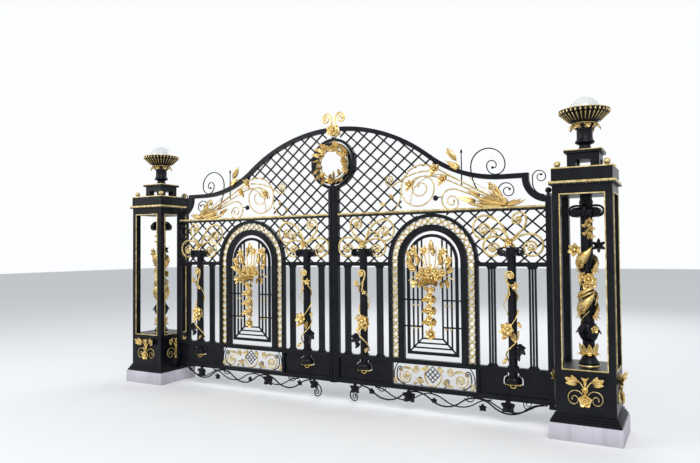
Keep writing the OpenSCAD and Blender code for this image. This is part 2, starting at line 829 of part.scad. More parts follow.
module wreath() {
  in_r = ring_r - ring_w;
  color(gold) left() centred(scroll_d * 2) translate([0, ring_z]) intersection() {
    circle(in_r);
    union() {
      difference() {
        circle(in_r - 12);
        circle(in_r - 46);
      }
      for (i = [0:11]) rotate(i * 30) translate([in_r - 30, 0]) blossom(36);
    }
  }
}

module crown_rosette() {
  r = 0.36 * crest_h;
  color(gold) left() {
    upright(-boss_d / 2, boss_d / 2) translate([0, boss_z]) circle(boss_r);
    upright(-boss_d / 2 - 16, -boss_d / 2) translate([0, boss_z]) blossom(boss_r - 4, 8);
    centred(scroll_d) bent_pair(concat([[r, -68], [0, 0.25 * crest_h]], coil(r, 3, -180)), at = [50, boss_z + 45], dir = 158);
  }
}

// Posts

module plinths() {
  w = shaft_w + 2 * plinth_over;
  color("#cfc8d6") each_post() translate([-w / 2, -w / 2, 0]) cube([w, w, plinth_h]);
}

module post_bases() {
  color(iron) each_post() {
    for (i = [0:2]) translate([0, 0, step_z + i * step_h]) block(shaft_w + 2 * (plinth_over - 10) * (1 - i / 3), step_h);
    translate([0, 0, box_z]) block(shaft_w, box_h);
  }
}

module block(w, h) {
  translate([-w / 2, -w / 2, 0]) cube([w, w, h]);
}

module post_frames() {
  color(iron) each_post() around() translate([shaft_w / 2 - corner_w, shaft_w / 2 - corner_w, window_z])
    cube([corner_w, corner_w, window_h]);
}

module post_heads() {
  color(iron) each_post() {
    translate([0, 0, head_z]) block(shaft_w, architrave_h);
    translate([0, 0, dentil_z]) block(shaft_w, dentil_h);
    translate([0, 0, cap_z]) block(shaft_w + 10, cap_h);
  }
}

module scalloped(wide, high, n) {
  pitch = wide / n;
  translate([-wide / 2, high / 2]) square([wide, high / 2]);
  for (i = [0:n - 1]) translate([(i + 0.5) * pitch - wide / 2, high / 2]) circle(pitch * 0.42);
}

// Thin strip along the upper edge of one face
module gold_line(wide, top, high) {
  upright(-wide / 2 - 3, -wide / 2) translate([-wide / 2 - 3, top - high]) square([wide + 6, high]);
}

module post_gilding() {
  open_w = shaft_w - 2 * corner_w;
  color(gold) each_post() {
    around() {
      translate([shaft_w / 2 - 40, shaft_w / 2 - 40, table_z]) {
        cylinder(r = cap_ball_r * 0.6, h = 8);
        translate([0, 0, cap_ball_r + 4]) sphere(cap_ball_r);
      }
      gold_line(shaft_w + 10, table_z, 10);
      gold_line(table_w + 44, urn_z, 8);
      translate([0, -shaft_w / 2, 0]) {
        upright(-head_over, 0) translate([head_over / 2, dentil_z]) intersection() {
          scalloped(shaft_w + head_over, dentil_h, dentil_n);
          translate([-shaft_w, 0]) square([2 * shaft_w, dentil_h]);
        }
        upright(-edge_d, 0) translate([-open_w / 2, window_z]) difference() {
          translate([-edge_w, -edge_w]) square([open_w + 2 * edge_w, window_h + 2 * edge_w]);
          square([open_w, window_h]);
        }
      }
    }
  }
}

module panel_ornaments() {
  color(gold) each_post() around() translate([0, -shaft_w / 2, 0]) upright(-edge_d - 4, 0)
    translate([0, box_z + box_h / 2 - 80]) {
      blossom(46);
      translate([-9, 30]) square([18, 110]);
      polygon([[-9, 120], [9, 120], [30, 175], [-30, 175]]);
      bent_pair(concat([[0, 30]], coil(46, 3, -180, 0.6)), 8, [6, 50], 55);
      bent_pair([[0, 40], [110, -60]], 8, [2, 80], 70);
      translate([80, 158]) rotate(20) leaf_shape(76, 46);
      translate([-80, 158]) rotate(160) leaf_shape(76, 46);
    }
}

module post_columns() {
  eye = 42;
  r = post_column_r;
  color(iron) each_post() translate([0, 0, window_z]) {
    rotate_extrude() polygon([[0, 0], [1.7 * r, 0], [1.7 * r, 0.5 * r], [1.25 * r, 1.2 * r], [r, 1.7 * r], [r, window_h], [0, window_h]]);
    for (turn = [0, 90]) rotate(turn) centred(2 * r + 20) translate([0, 0.872 * window_h]) {
      for (x = [-82, 82]) translate([x, eye]) circle(eye);
      translate([-82, 2 * eye - 18]) square([164, 18]);
    }
  }
}

module post_foliage() {
  collar = 10;
  r = post_column_r + collar;
  color(gold) each_post() for (k = [0:3]) translate([0, 0, (0.09 + 0.185 * k) * window_h]) rotate(k * 40) translate([0, 0, window_z]) {
    difference() {
      cylinder(r = r, h = 40);
      translate([0, 0, -1]) cylinder(r = post_column_r, h = 42);
    }
    around(3) translate([r - 4, 0, 20]) rotate([0, -55, 0]) translate([0, 0, -4]) linear_extrude(8) leaf_shape(0.075 * window_h, 1.2 * post_column_r);
    rotate(60) around(3) translate([r - 4, 0, 20]) rotate([0, 90, 0]) cylinder(r = 22, h = 16);
  }
}

module urn_pedestals() {
  leg = 0.27 * table_w;
  top = 0.18 * table_h;
  apron = 0.36 * table_h;
  color(iron) each_post() translate([0, 0, table_z]) {
    around() translate([table_w / 2 - leg, table_w / 2 - leg, 0]) cube([leg, leg, table_h - top]);
    translate([0, 0, table_h - top - apron]) block(table_w, apron);
    translate([0, 0, table_h - top]) block(table_w + 44, top);
  }
}

module urns() {
  n = neck_r;
  h = urn_h;
  color(iron) each_post() translate([0, 0, urn_z]) rotate_extrude()
    polygon([[0, 0], [n, 0], [n, 0.04 * h], [0.74 * n, 0.08 * h], [0.72 * n, 0.15 * h], [1.2 * n, 0.19 * h], [1.2 * n, 0.24 * h],
      [n, 0.28 * h], [0.98 * n, 0.53 * h], [1.3 * n, 0.62 * h], [1.45 * n, 0.68 * h], [0.92 * rim_r, 0.92 * h], [rim_r, 0.93 * h],
      [rim_r, h], [0.93 * rim_r, h], [0.54 * rim_r, bowl_floor], [0, bowl_floor]]);
}

module globes() {
  sink = 0.65 * globe_r;
  color("white") each_post() translate([0, 0, urn_z + bowl_floor + 0.5]) intersection() {
    translate([0, 0, sink]) sphere(globe_r);
    translate([-globe_r, -globe_r, 0]) cube(2 * globe_r);
  }
}

module hinge_brackets() {
  pivot = hinge_gap + hinge_stile_w / 2;
  color(iron) for (side = [0, 1]) translate([side * 2 * gate_x, 0, 0]) mirror([side, 0, 0]) translate([shaft_w / 2, 0, 0]) {
    difference() {
      translate([0, -bracket_w / 2, leaf_bottom - bracket_gap - bracket_h]) cube([pivot + bracket_w / 2, bracket_w, bracket_h]);
      translate([-shaft_w / 2, 0, step_z]) block(shaft_w + 2 * (plinth_over - 10), 3 * step_h);
    }
    translate([pivot, 0, leaf_bottom - bracket_gap - 1]) cylinder(r = pin_r, h = pin_h);
    translate([0, 0, neck_z + strap_gap]) difference() {
      union() {
        translate([0, -bracket_w / 2, 0]) cube([pivot, bracket_w, neck_h - 2 * strap_gap]);
        translate([pivot, 0, 0]) cylinder(r = bracket_w / 2, h = neck_h - 2 * strap_gap);
      }
      translate([pivot, 0, -1]) cylinder(r = pin_r + 1, h = neck_h);
    }
  }
}

plinths();
post_bases();
post_frames();
post_heads();
post_gilding();
panel_ornaments();
post_columns();
post_foliage();
urn_pedestals();
urns();
globes();
hinge_brackets();
left() stiles();  // left_stiles
left() rails();  // left_rails
left() band_trim();  // left_band_trim
left_top_rail();
left() lattice();  // left_lattice
left() arch_frames();  // left_arch_frames
left() arch_chain();  // left_arch_chain
left() grille();  // left_grille
left() pickets();  // left_pickets
left() columns();  // left_columns
left() column_vines();  // left_column_vines
left() bay_scrolls();  // left_bay_scrolls
left() panels();  // left_panels
left() scroll_panel();  // left_scroll_panel
left() ground_vine();  // left_ground_vine
left() spray();  // left_spray
left() shoulder_scrolls();  // left_shoulder_scrolls
left() bouquet();  // left_bouquet
right() stiles();  // right_stiles
right() rails();  // right_rails
right() band_trim();  // right_band_trim
right_top_rail();
right() lattice();  // right_lattice
right() arch_frames();  // right_arch_frames
right() arch_chain();  // right_arch_chain
right() grille();  // right_grille
right() pickets();  // right_pickets
right() columns();  // right_columns
right() column_vines();  // right_column_vines
right() bay_scrolls();  // right_bay_scrolls
right() panels();  // right_panels
right() scroll_panel();  // right_scroll_panel
right() ground_vine();  // right_ground_vine
right() spray();  // right_spray
right() shoulder_scrolls();  // right_shoulder_scrolls
right() bouquet();  // right_bouquet
crown_ring();
wreath();
crown_rosette();
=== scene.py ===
import math
import random

import bpy
from mathutils import Matrix, Vector


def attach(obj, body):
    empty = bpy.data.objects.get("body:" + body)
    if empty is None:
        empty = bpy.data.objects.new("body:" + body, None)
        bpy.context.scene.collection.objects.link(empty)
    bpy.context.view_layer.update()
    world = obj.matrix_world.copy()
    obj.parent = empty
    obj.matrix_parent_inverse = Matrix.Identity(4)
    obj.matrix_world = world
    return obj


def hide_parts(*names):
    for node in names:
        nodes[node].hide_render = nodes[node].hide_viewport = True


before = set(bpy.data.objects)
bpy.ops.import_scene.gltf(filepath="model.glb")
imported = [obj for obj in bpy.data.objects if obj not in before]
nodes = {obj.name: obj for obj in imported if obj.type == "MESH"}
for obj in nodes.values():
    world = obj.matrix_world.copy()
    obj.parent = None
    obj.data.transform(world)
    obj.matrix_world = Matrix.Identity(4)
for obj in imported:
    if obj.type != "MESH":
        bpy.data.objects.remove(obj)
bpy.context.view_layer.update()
random.seed(7)

# lines of the gateway in metres, as part.scad has them; a leaf is drawn from the middle toward its hinge
gateway = {"middleX": 2.54, "postX": (0.0, 5.08), "archX": 1.107, "sillZ": 0.515, "columnX": (0.3495, 1.8865)}
sides = {"left": -1, "right": 1}
front = (0, -1, 0)


def addObject(name, data):
    thing = bpy.data.objects.new(name, data)
    bpy.context.scene.collection.objects.link(thing)
    return thing


# camera, first because everything is judged from it

cameraView = {"place": (5.883, -5.684, 1.602), "heading": 28.996, "pitch": 1.70, "roll": -0.497,
              "focalPixels": 617.8, "width": 700, "sensor": 36}


def makeCamera(v):
    camera = addObject("photoCamera", bpy.data.cameras.new("photoCamera"))
    camera.data.sensor_width = v["sensor"]
    camera.data.lens = v["sensor"] * v["focalPixels"] / v["width"]
    stand = Matrix.Translation(v["place"])
    for angle, axis in ((v["heading"], "Z"), (90 + v["pitch"], "X"), (v["roll"], "Z")):
        stand = stand @ Matrix.Rotation(math.radians(angle), 4, axis)
    camera.matrix_world = stand
    bpy.context.scene.camera = camera


makeCamera(cameraView)
print("camera set")


# shader maths: a wire is one output socket, and arithmetic on it adds Math nodes

class Wire:
    def __init__(self, shader, socket):
        self.shader, self.socket = shader, socket

    def math(self, kind, first, second, clamped=False):
        return self.shader.node("Math", {"operation": kind, "use_clamp": clamped}, i0=first, i1=second)

    def __add__(self, other): return self.math("ADD", self, other)
    def __sub__(self, other): return self.math("SUBTRACT", self, other)
    def __mul__(self, other): return self.math("MULTIPLY", self, other)
    def __truediv__(self, other): return self.math("DIVIDE", self, other)
    def __rsub__(self, other): return self.math("SUBTRACT", other, self)
    def __rtruediv__(self, other): return self.math("DIVIDE", other, self)
    __radd__, __rmul__ = __add__, __mul__

    def clamp(self): return self.math("ADD", self, 0.0, True)
    def over(self, edge, soft): return ((self - edge) / soft).clamp()  # 0 below the edge, then up to 1


class Shader:
    def __init__(self, owner):
        self.owner = owner
        owner.use_nodes = True
        self.tree = owner.node_tree
        self.tree.nodes.clear()

    # any node: its type, what is set on it first, then its sockets by name, or i and a number
    def node(self, kind, settings=None, output=0, **inputs):
        node = self.tree.nodes.new("ShaderNode" + kind)
        for key, value in (settings or {}).items():
            setattr(node, key, value)
        for key, value in inputs.items():
            socket = node.inputs[int(key[1:]) if key[1:].isdigit() else key.replace("_", " ")]
            if isinstance(value, Wire):
                self.tree.links.new(value.socket, socket)
            elif isinstance(value, tuple) and len(value) < len(socket.default_value):
                socket.default_value = (*value, 1)
            else:
                socket.default_value = value
        return Wire(self, node.outputs[output]) if node.outputs else None

    def place(self, scale=(1, 1, 1)):
        return self.node("Mapping", Vector=self.node("NewGeometry"), Scale=scale)

    def noise(self, scale, detail=3.0, rough=0.55, where=None):
        where = where or self.place()
        return self.node("TexNoise", Vector=where, Scale=scale, Detail=detail, Roughness=rough)

    def mix(self, factor, a, b):
        return self.node("Mix", {"data_type": "RGBA"}, 2, i0=factor, i6=a, i7=b)

    def bump(self, height, strength, distance):
        return self.node("Bump", Strength=strength, Distance=distance, Height=height)

    def recess(self):
        return self.node("Attribute", {"attribute_name": "recess"}, 2)

    def height(self):
        return self.node("SeparateXYZ", output=2, Vector=self.place())

    def upward(self):
        return self.node("SeparateXYZ", output=2, Vector=self.node("NewGeometry", output=1))

    def finish(self, **inputs):
        self.node("OutputMaterial", Surface=self.node("BsdfPrincipled", **inputs))
        return self.owner


def newShader(name):
    return Shader(bpy.data.materials.new(name))


# satin black over forged iron, a little dust on what looks up

ironPaint = {"deep": (0.0018, 0.0023, 0.0038), "worn": (0.0062, 0.0076, 0.0115), "dust": (0.03, 0.03, 0.033),
             "rough": 0.27, "hammered": 0.35, "coat": 0.05, "specular": 0.15}


def makeIronPaint(v):
    s = newShader("ironPaint")
    cloud, fine = s.noise(7, 4), s.noise(260, 2, 0.6)
    hammer = s.node("TexVoronoi", {"feature": "SMOOTH_F1"}, Vector=s.place(), Scale=70.0, Smoothness=0.6)
    settled = s.upward().over(0.72, 0.25) * s.noise(24, 3).over(0.42, 0.3) * 0.55
    lit = s.mix(cloud.over(0.38, 0.3), v["deep"], v["worn"])
    rough = v["rough"] + cloud * 0.12 + settled * 0.35 + fine * 0.05
    return s.finish(Base_Color=s.mix(settled, lit, v["dust"]), Roughness=rough, Coat_Weight=v["coat"],
                    Coat_Roughness=0.12, Specular_IOR_Level=v["specular"],
                    Normal=s.bump(hammer * v["hammered"] + fine * 0.3, 0.22, 0.0016))


# gilding: pale streaks of painted highlight, and painted shade with brown patina in recesses and folds

goldPaint = {"bright": (0.92, 0.68, 0.23), "warm": (0.62, 0.36, 0.065), "shadeAndPatina": (0.075, 0.032, 0.006),
             "pale": (1.0, 0.88, 0.50), "shadeAndPatinaStrength": 1.0}
bronzeGold = {**goldPaint, "bright": (0.66, 0.42, 0.12), "shadeAndPatinaStrength": 1.2}


def makeGoldPaint(name, v):
    s = newShader(name)
    deep, cloud, fine = s.recess().clamp(), s.noise(34, 4), s.noise(420, 2)
    # pale streaks are painted highlight, kept out of the recesses
    highlightStreaks = s.noise(18, 3, 0.6, s.place((1, 1, 6))).over(0.45, 0.2)
    top = s.mix(cloud.over(0.35, 0.35), v["warm"], v["bright"])
    highlighted = s.mix((highlightStreaks * (1 - deep) * 0.7).clamp(), top, v["pale"])
    # painted shade with brown patina, deepest in recesses, folds and leaf bases
    shade = ((deep * 1.5 + cloud * 0.4 - 0.42) * v["shadeAndPatinaStrength"]).clamp()
    return s.finish(Base_Color=s.mix(shade, highlighted, v["shadeAndPatina"]), Roughness=0.22 + shade * 0.45 + fine * 0.08,
                    Metallic=0.62 - shade * 0.3, Coat_Weight=0.25, Coat_Roughness=0.2,
                    Normal=s.bump(cloud * 0.5 + fine * 0.3, 0.3, 0.001))


# paler gold of the scrolls and mouldings

champagne = {"light": (0.88, 0.74, 0.38), "dark": (0.45, 0.32, 0.11), "rough": 0.30, "metal": 0.55}
trimTeeth = {"bandTrim": (1.90, 1.973), "postTrim": (2.12, 2.151)}  # black between these heights


def makeChampagne(v):
    s = newShader("champagneGold")
    cloud, fine = s.noise(26, 4), s.noise(380, 2)
    rubbed = cloud.over(0.42, 0.28)
    # painted shade on what faces down
    shadedUnderside = (1 - s.upward()).over(0.75, 0.9) * 0.45
    return s.finish(Base_Color=s.mix(shadedUnderside, s.mix(rubbed, v["dark"], v["light"]), v["dark"]),
                    Roughness=v["rough"] + fine * 0.12 - rubbed * 0.06, Metallic=v["metal"],
                    Normal=s.bump(cloud * 0.4 + fine * 0.3, 0.25, 0.001))


def makeTrimPaint(name, v):
    s = newShader(name)
    cloud, z = s.noise(26, 4), s.height()
    low, high = trimTeeth[name]
    black = z.over(low, 0.001) * (1 - z.over(high, 0.002))
    gilt = s.mix(cloud.over(0.40, 0.3), v["dark"], v["light"])
    teeth = s.mix(s.noise(60, 3).over(0.5, 0.2) * 0.5, ironPaint["worn"], v["dark"])
    return s.finish(Base_Color=s.mix(black, gilt, teeth), Roughness=v["rough"] + cloud * 0.1,
                    Metallic=v["metal"] - black * 0.4, Normal=s.bump(cloud, 0.2, 0.001))


# painted plinths, splashed at the foot

plinthPaint = {"wall": (0.60, 0.575, 0.65), "stain": (0.36, 0.34, 0.37), "rough": 0.78, "splash": 5.5}


def makePlinthPaint(v):
    s = newShader("plinthPaint")
    grain = s.noise(150, 5, 0.65)
    pits = s.node("TexVoronoi", Vector=s.place(), Scale=110.0)
    splash = (s.noise(6, 4) + 0.35 - s.height() * v["splash"]).clamp()
    streak = s.noise(9, 4, 0.6, s.place((1, 1, 0.12))).over(0.52, 0.2) * 0.35
    return s.finish(Base_Color=s.mix((splash * 0.75 + streak).clamp(), v["wall"], v["stain"]),
                    Roughness=v["rough"] + grain * 0.12, Normal=s.bump(grain + pits * 0.4, 0.45, 0.003))


# white lamp glass with a film of dust

globeGlass = {"white": (0.68, 0.69, 0.68), "shade": (0.46, 0.49, 0.51), "rough": 0.14}


def makeGlobeGlass(v):
    s = newShader("globeGlass")
    cloud = s.noise(5, 3)
    film = (cloud * 0.7 + s.upward().over(0.55, 0.5) * 0.35 - 0.25).clamp()
    return s.finish(Base_Color=s.mix(film, v["white"], v["shade"]), Roughness=v["rough"] + cloud * 0.12,
                    Coat_Weight=0.5, Coat_Roughness=0.06, Subsurface_Weight=0.12, Subsurface_Scale=0.02)


# finish: its material, and the record's slot for it
finishes = {
    "iron": (makeIronPaint(ironPaint), "iron"),
    "gold": (makeGoldPaint("goldPaint", goldPaint), "gold"),
    "bronzeGold": (makeGoldPaint("bronzeGold", bronzeGold), "gold"),
    "champagne": (makeChampagne(champagne), "pale_gold"),
    "bandTrim": (makeTrimPaint("bandTrim", champagne), "gold"),
    "postTrim": (makeTrimPaint("postTrim", champagne), "gold"),
    "plinth": (makePlinthPaint(plinthPaint), "plinth_paint"),
    "globe": (makeGlobeGlass(globeGlass), "globe")}
print("finishes made")


# a mesh in the making: points, faces, and how deeply recessed each point is, which the gold paint turns into
# painted shade

class Forge:
    def __init__(self):
        self.points, self.faces, self.depth = [], [], []

    def add(self, points, faces, depth=0.0):
        start = len(self.points)
        self.points += [tuple(p) for p in points]
        self.faces += [tuple(start + i for i in f) for f in faces]
        self.depth += depth if isinstance(depth, list) else [depth] * len(points)

    def take(self, make, at=(0, 0, 0), sign=1):  # what make draws, mirrored where sign is -1, and moved
        part = Forge()
        make(part)
        self.add([(at[0] + sign * p[0], at[1] + p[1], at[2] + p[2]) for p in part.points],
                 [f[::-1] if sign < 0 else f for f in part.faces], part.depth)

    def build(self, name, finish, body, replaced=()):
        mesh = bpy.data.meshes.new(name)
        mesh.from_pydata(self.points, [], self.faces)
        mesh.attributes.new("recess", "FLOAT", "POINT").data.foreach_set("value", self.depth)
        mesh.shade_smooth()
        material, slot = finishes[finish]
        mesh.materials.append(material)
        mesh.validate()
        mesh.update()
        piece = addObject(name, mesh)
        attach(piece, body)
        if replaced:
            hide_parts(*replaced)


def sind(a): return math.sin(math.radians(a))
def cosd(a): return math.cos(math.radians(a))


# a bent bar's points in metres and headings; its steps are (radius, turn to the left) or (0, length), in mm
def walk(path, at, heading):
    points, (x, z), d = [], at, heading
    for radius, amount in path:
        if radius == 0:
            length = amount / 1000
            points += [(x + length * k / 4 * cosd(d), z + length * k / 4 * sind(d), d) for k in range(4)]
            x, z = x + length * cosd(d), z + length * sind(d)
        else:
            r = math.copysign(radius / 1000, amount)
            cx, cz = x - r * sind(d), z + r * cosd(d)
            n = max(3, math.ceil(abs(amount) / 9))
            turns = [d + amount * k / n for k in range(n)]
            points += [(cx + r * sind(a), cz - r * cosd(a), a) for a in turns]
            d += amount
            x, z = cx + r * sind(d), cz - r * cosd(d)
    return points + [(x, z, d)]


def coil(radius, halves, turn=180, shrink=0.66):
    return [(radius * shrink ** i, turn) for i in range(halves)]


# sweeps a rounded section along a walk; thin is the far end's share of the width
def bar(forge, points, wide=0.012, deep=0.012, y=0.0, thin=1.0, depth=0.0):
    last, sides, squareness = len(points) - 1, 8, 0.62
    verts, faces = [], []
    for k, (x, z, d) in enumerate(points):
        size = 1 + (thin - 1) * k / last
        for i in range(sides):
            c, s = cosd(360 * (i + 0.5) / sides), sind(360 * (i + 0.5) / sides)
            a = wide * size / 2 * math.copysign(abs(c) ** squareness, c)
            b = deep * (0.5 + 0.5 * size) / 2 * math.copysign(abs(s) ** squareness, s)
            verts.append((x - a * sind(d), y + b, z + a * cosd(d)))
    for k in range(last):
        for i in range(sides):
            j = (i + 1) % sides
            faces.append((k * sides + i, (k + 1) * sides + i, (k + 1) * sides + j, k * sides + j))
    faces += [tuple(range(sides)), tuple(last * sides + i for i in reversed(range(sides)))]
    forge.add(verts, faces, depth)


# a bent bar that ends in the eye of its coil
def scroll(forge, path, at, heading, wide=0.012, deep=0.012, y=0.0, thin=0.62, eye=1.0):
    points = walk(path, at, heading)
    bar(forge, points, wide, deep, y, thin)
    x, z, d = points[-1]
    ball(forge, (x, y, z), wide * eye * 0.75, rings=6, spokes=10)


def ball(forge, centre, radius, stretch=(1, 1, 1), rings=8, spokes=12, depth=0.0):
    def spot(a, b):
        way = (math.sin(a) * math.cos(b), math.sin(a) * math.sin(b), -math.cos(a))
        return tuple(c + radius * s * w for c, s, w in zip(centre, stretch, way))
    verts = [spot(0, 0)] + [spot(math.pi * i / rings, 2 * math.pi * j / spokes)
                            for i in range(1, rings) for j in range(spokes)] + [spot(math.pi, 0)]
    top, last = len(verts) - 1, len(verts) - 1 - spokes
    faces = []
    for j in range(spokes):
        k = (j + 1) % spokes
        faces += [(0, 1 + k, 1 + j), (last + j, last + k, top)]
        faces += [(i + j, i + k, i + k + spokes, i + j + spokes) for i in range(1, last, spokes)]
    forge.add(verts, faces, depth)


def tube(rings, sides):  # faces over rings of points, closed at both ends
    faces = [(k + j, k + (j + 1) % sides, k + sides + (j + 1) % sides, k + sides + j)
             for k in range(0, (rings - 1) * sides, sides) for j in range(sides)]
    return faces + [tuple(reversed(range(sides))), tuple((rings - 1) * sides + j for j in range(sides))]


# a turned form from (radius, height) pairs; ripple(angle, height share) scales its radii
def turned(forge, profile, centre=(0, 0, 0), spokes=32, ripple=None, depth=None, frameOf=None):
    n = len(profile)
    verts, shade = [], []
    for k, (r, h) in enumerate(profile):
        for j in range(spokes):
            a = 2 * math.pi * j / spokes
            scale = ripple(a, k / (n - 1)) if ripple else 1.0
            p = Vector((r * scale * math.cos(a), r * scale * math.sin(a), h))
            verts.append((frameOf @ p if frameOf else p) + Vector(centre))
            shade.append(depth(a, k / (n - 1)) if depth else 0.0)
    forge.add(verts, tube(n, spokes), shade)


# closes a grid of points, row by row, into a sheet of even thickness
def skin(forge, grid, thick, shade):
    rows, cols = len(grid), len(grid[0])
    face, back = [], []
    for i in range(rows):
        for j in range(cols):
            a = grid[min(i + 1, rows - 1)][j] - grid[max(i - 1, 0)][j]
            b = grid[i][min(j + 1, cols - 1)] - grid[i][max(j - 1, 0)]
            normal = a.cross(b)
            normal = normal.normalized() if normal.length > 1e-12 else Vector(front)
            face.append(grid[i][j] + normal * thick / 2)
            back.append(grid[i][j] - normal * thick / 2)
    n = rows * cols
    faces = []
    for i in range(rows - 1):
        for j in range(cols - 1):
            a = i * cols + j
            faces += [(a, a + cols, a + cols + 1, a + 1), (n + a, n + a + 1, n + a + cols + 1, n + a + cols)]
    edge = list(range(cols)) + [i * cols + cols - 1 for i in range(1, rows)]
    edge += [(rows - 1) * cols + j for j in range(cols - 2, -1, -1)]
    edge += [i * cols for i in range(rows - 2, 0, -1)]
    faces += [(a, b, n + b, n + a) for a, b in zip(edge, edge[1:] + edge[:1])]
    forge.add(face + back, faces, shade + shade)


# a beaten leaf: along is where it grows, out the way its face looks; curl bends its tip out, cup folds it
def leaf(forge, root, along, out, length, wide, cup=0.25, curl=0.5, lobes=0, lobed=0.25, thick=0.003, rows=9,
         cols=7, rib=0.1, dark=0.0):
    along, out = Vector(along).normalized(), Vector(out)
    out = (out - along * out.dot(along)).normalized()
    across = along.cross(out)
    grid, shade = [], []
    for i in range(rows):
        u = i / (rows - 1)
        full = math.sin(math.pi * (u * 0.93 + 0.07) ** 0.75) ** 0.8 if u < 1 else 0.0
        half = wide / 2 * full + 0.0012
        notch = 0.0
        if lobes:
            notch = 1 - abs(math.sin(math.pi * lobes * u))
            half *= 1 - lobed * notch
        bend = curl * u * 0.6
        centre = Vector(root) + along * (length * u * math.cos(bend)) + out * (length * u * math.sin(bend))
        row = []
        for j in range(cols):
            v = 2 * j / (cols - 1) - 1
            rise = cup * v * v - cup * 0.35 + rib * max(0, 1 - abs(v) * 3)
            row.append(centre + across * (half * v) + out * (half * rise))
            # painted shade: darker in the folds, in the notches between lobes, towards the base, and by dark
            # all over
            fold = 0.5 * max(0.0, 1 - abs(abs(v) - 0.42) * 4)
            edge = 0.75 * notch * abs(v) ** 2
            shade.append(min(1.0, dark + edge + fold * (1 - u * 0.5) + 0.7 * (1 - u) ** 3))
        grid.append(row)
    skin(forge, grid, thick, shade)


def leaves(forge, table, **shape):  # leaves that face the viewer: root, way, length, width
    for root, way, length, wide in table:
        leaf(forge, root, way, front, length, wide, **shape)


# a narrow pointed leaf along a line of (place, way its face looks) pairs
def blade(forge, line, wide, ridge, dark):
    last = len(line) - 1
    grid, shade = [], []
    for k, (place, out) in enumerate(line):
        way = (line[min(k + 1, last)][0] - line[max(k - 1, 0)][0]).normalized()
        across = way.cross(out).normalized()
        half = wide / 2 * math.sin(math.pi * (0.12 + 0.88 * k / last) ** 0.8) + 0.0008
        grid.append([place + across * half * v + out * (ridge * half * (1 - abs(v)))
                     for v in (-1, -0.5, 0, 0.5, 1)])
        # painted shade: darker at the edges, and by dark all over
        shade += [min(1, dark + d) for d in (0.6, 0.2, 0.0, 0.2, 0.6)]
    skin(forge, grid, 0.003, shade)


def drawn(path, at, heading, y, lift):  # a blade's line in the plane of the gate
    points = walk(path, at, heading)
    last = len(points) - 1
    return [(Vector((x, y - lift * k / last, z)), Vector(front)) for k, (x, z, d) in enumerate(points)]


def petalWays(normal, count, spin):  # the ways that petals point, and the way the flower looks
    normal = Vector(normal).normalized()
    side = Vector((0, 0, 1)).cross(normal)
    side = side.normalized() if side.length > 1e-6 else Vector((1, 0, 0))
    above = normal.cross(side)
    turns = [spin + 360 * i / count for i in range(count)]
    return [side * cosd(a) + above * sind(a) for a in turns], normal


def flower(forge, centre, radius, normal=front, petals=5, wide=0.8, cup=0.35, rise=0.45, heart=0.26, spin=90,
           lobes=0):
    ways, normal = petalWays(normal, petals, spin)
    for way in ways:
        root = Vector(centre) + way * radius * 0.12
        leaf(forge, root, way + normal * 0.18, normal, radius * 0.9, radius * wide, cup, rise, lobes, 0.2,
             rows=6, cols=5)
    if heart:
        # a little painted shade on the heart
        ball(forge, Vector(centre) + normal * radius * 0.2, radius * heart, rings=6, spokes=10, depth=0.1)


def star(forge, centre, radius, normal=front, points=6):
    ways, normal = petalWays(normal, points, 90)
    for way in ways:
        root = Vector(centre) + way * radius * 0.1
        leaf(forge, root, way + normal * 0.12, normal, radius * 0.95, radius * 0.46, 0.3, 0.3, thick=0.004,
             rows=6, cols=5, rib=0.3)
    ball(forge, Vector(centre) + normal * radius * 0.12, radius * 0.24, rings=6, spokes=10)


def standing(way):  # turns an upright form so that it points along way
    return Vector(way).to_track_quat("Z", "Y").to_matrix()


def bud(forge, root, way, length, radius, petals=4):
    profile = ((0.25, 0), (0.6, 0.1), (0.95, 0.28), (1.0, 0.45), (0.8, 0.66), (0.45, 0.85), (0.08, 1.0))

    def groove(a, t):
        return abs(math.cos(petals / 2 * a + t * 0.8)) ** 6
    # painted shade in the grooves between the petals
    turned(forge, [(radius * r, length * h) for r, h in profile], root, 16,
           lambda a, t: 1 - 0.22 * groove(a, t), lambda a, t: 0.9 * groove(a, t), standing(way))


def eachLeaf(make, name, finish, node=None):  # the right leaf's piece, and its mirror image on the left one
    for side, sign in sides.items():
        forge = Forge()
        forge.take(make, (gateway["middleX"], 0, 0), sign)
        forge.build(side + name, finish, side + "_leaf", [side + "_" + node] if node else [])


def eachPost(make, name, finish, replaced=()):
    forge = Forge()
    for x in gateway["postX"]:
        forge.take(make, (x, 0, 0))
    forge.build(name, finish, "posts", replaced)


def inBays(forge, make, hub=(0, 0)):  # at both columns, drawn for the outer one
    for x, sign in zip(gateway["columnX"], (-1, 1)):
        forge.take(make, (x + sign * hub[0], 0, hub[1]), sign)


# CAD nodes get their finish; those that a piece replaces aren't shown

nodeFinish = {"plinths": "plinth", "post_gilding": "postTrim", "left_band_trim": "bandTrim",
              "right_band_trim": "bandTrim"}
for name, piece in nodes.items():
    piece.data.materials.clear()
    piece.data.materials.append(finishes[nodeFinish.get(name, "iron")][0])
print("frame finished")


# rings and beads of the arch band

archBand = {"ring": 0.0355, "tube": 0.0085, "middle": 0.396, "springZ": 1.484, "bead": 0.0105, "legRings": 14,
            "arcRings": 17}


def ringAt(forge, x, z, tilt):
    v, spokes, sides = archBand, 20, 6
    verts, faces = [], []
    for i in range(spokes):
        for j in range(sides):
            r = v["ring"] - v["tube"] * (1 - cosd(360 * j / sides))
            a = tilt + 360 * i / spokes
            verts.append((x + r * cosd(a), v["tube"] * sind(360 * j / sides) * 0.95, z + r * sind(a)))
            k, m = (i + 1) % spokes * sides, (j + 1) % sides
            faces.append((i * sides + j, i * sides + m, k + m, k + j))
    forge.add(verts, faces, [0.55 if j == 3 else 0.0 for i in range(spokes) for j in range(sides)])


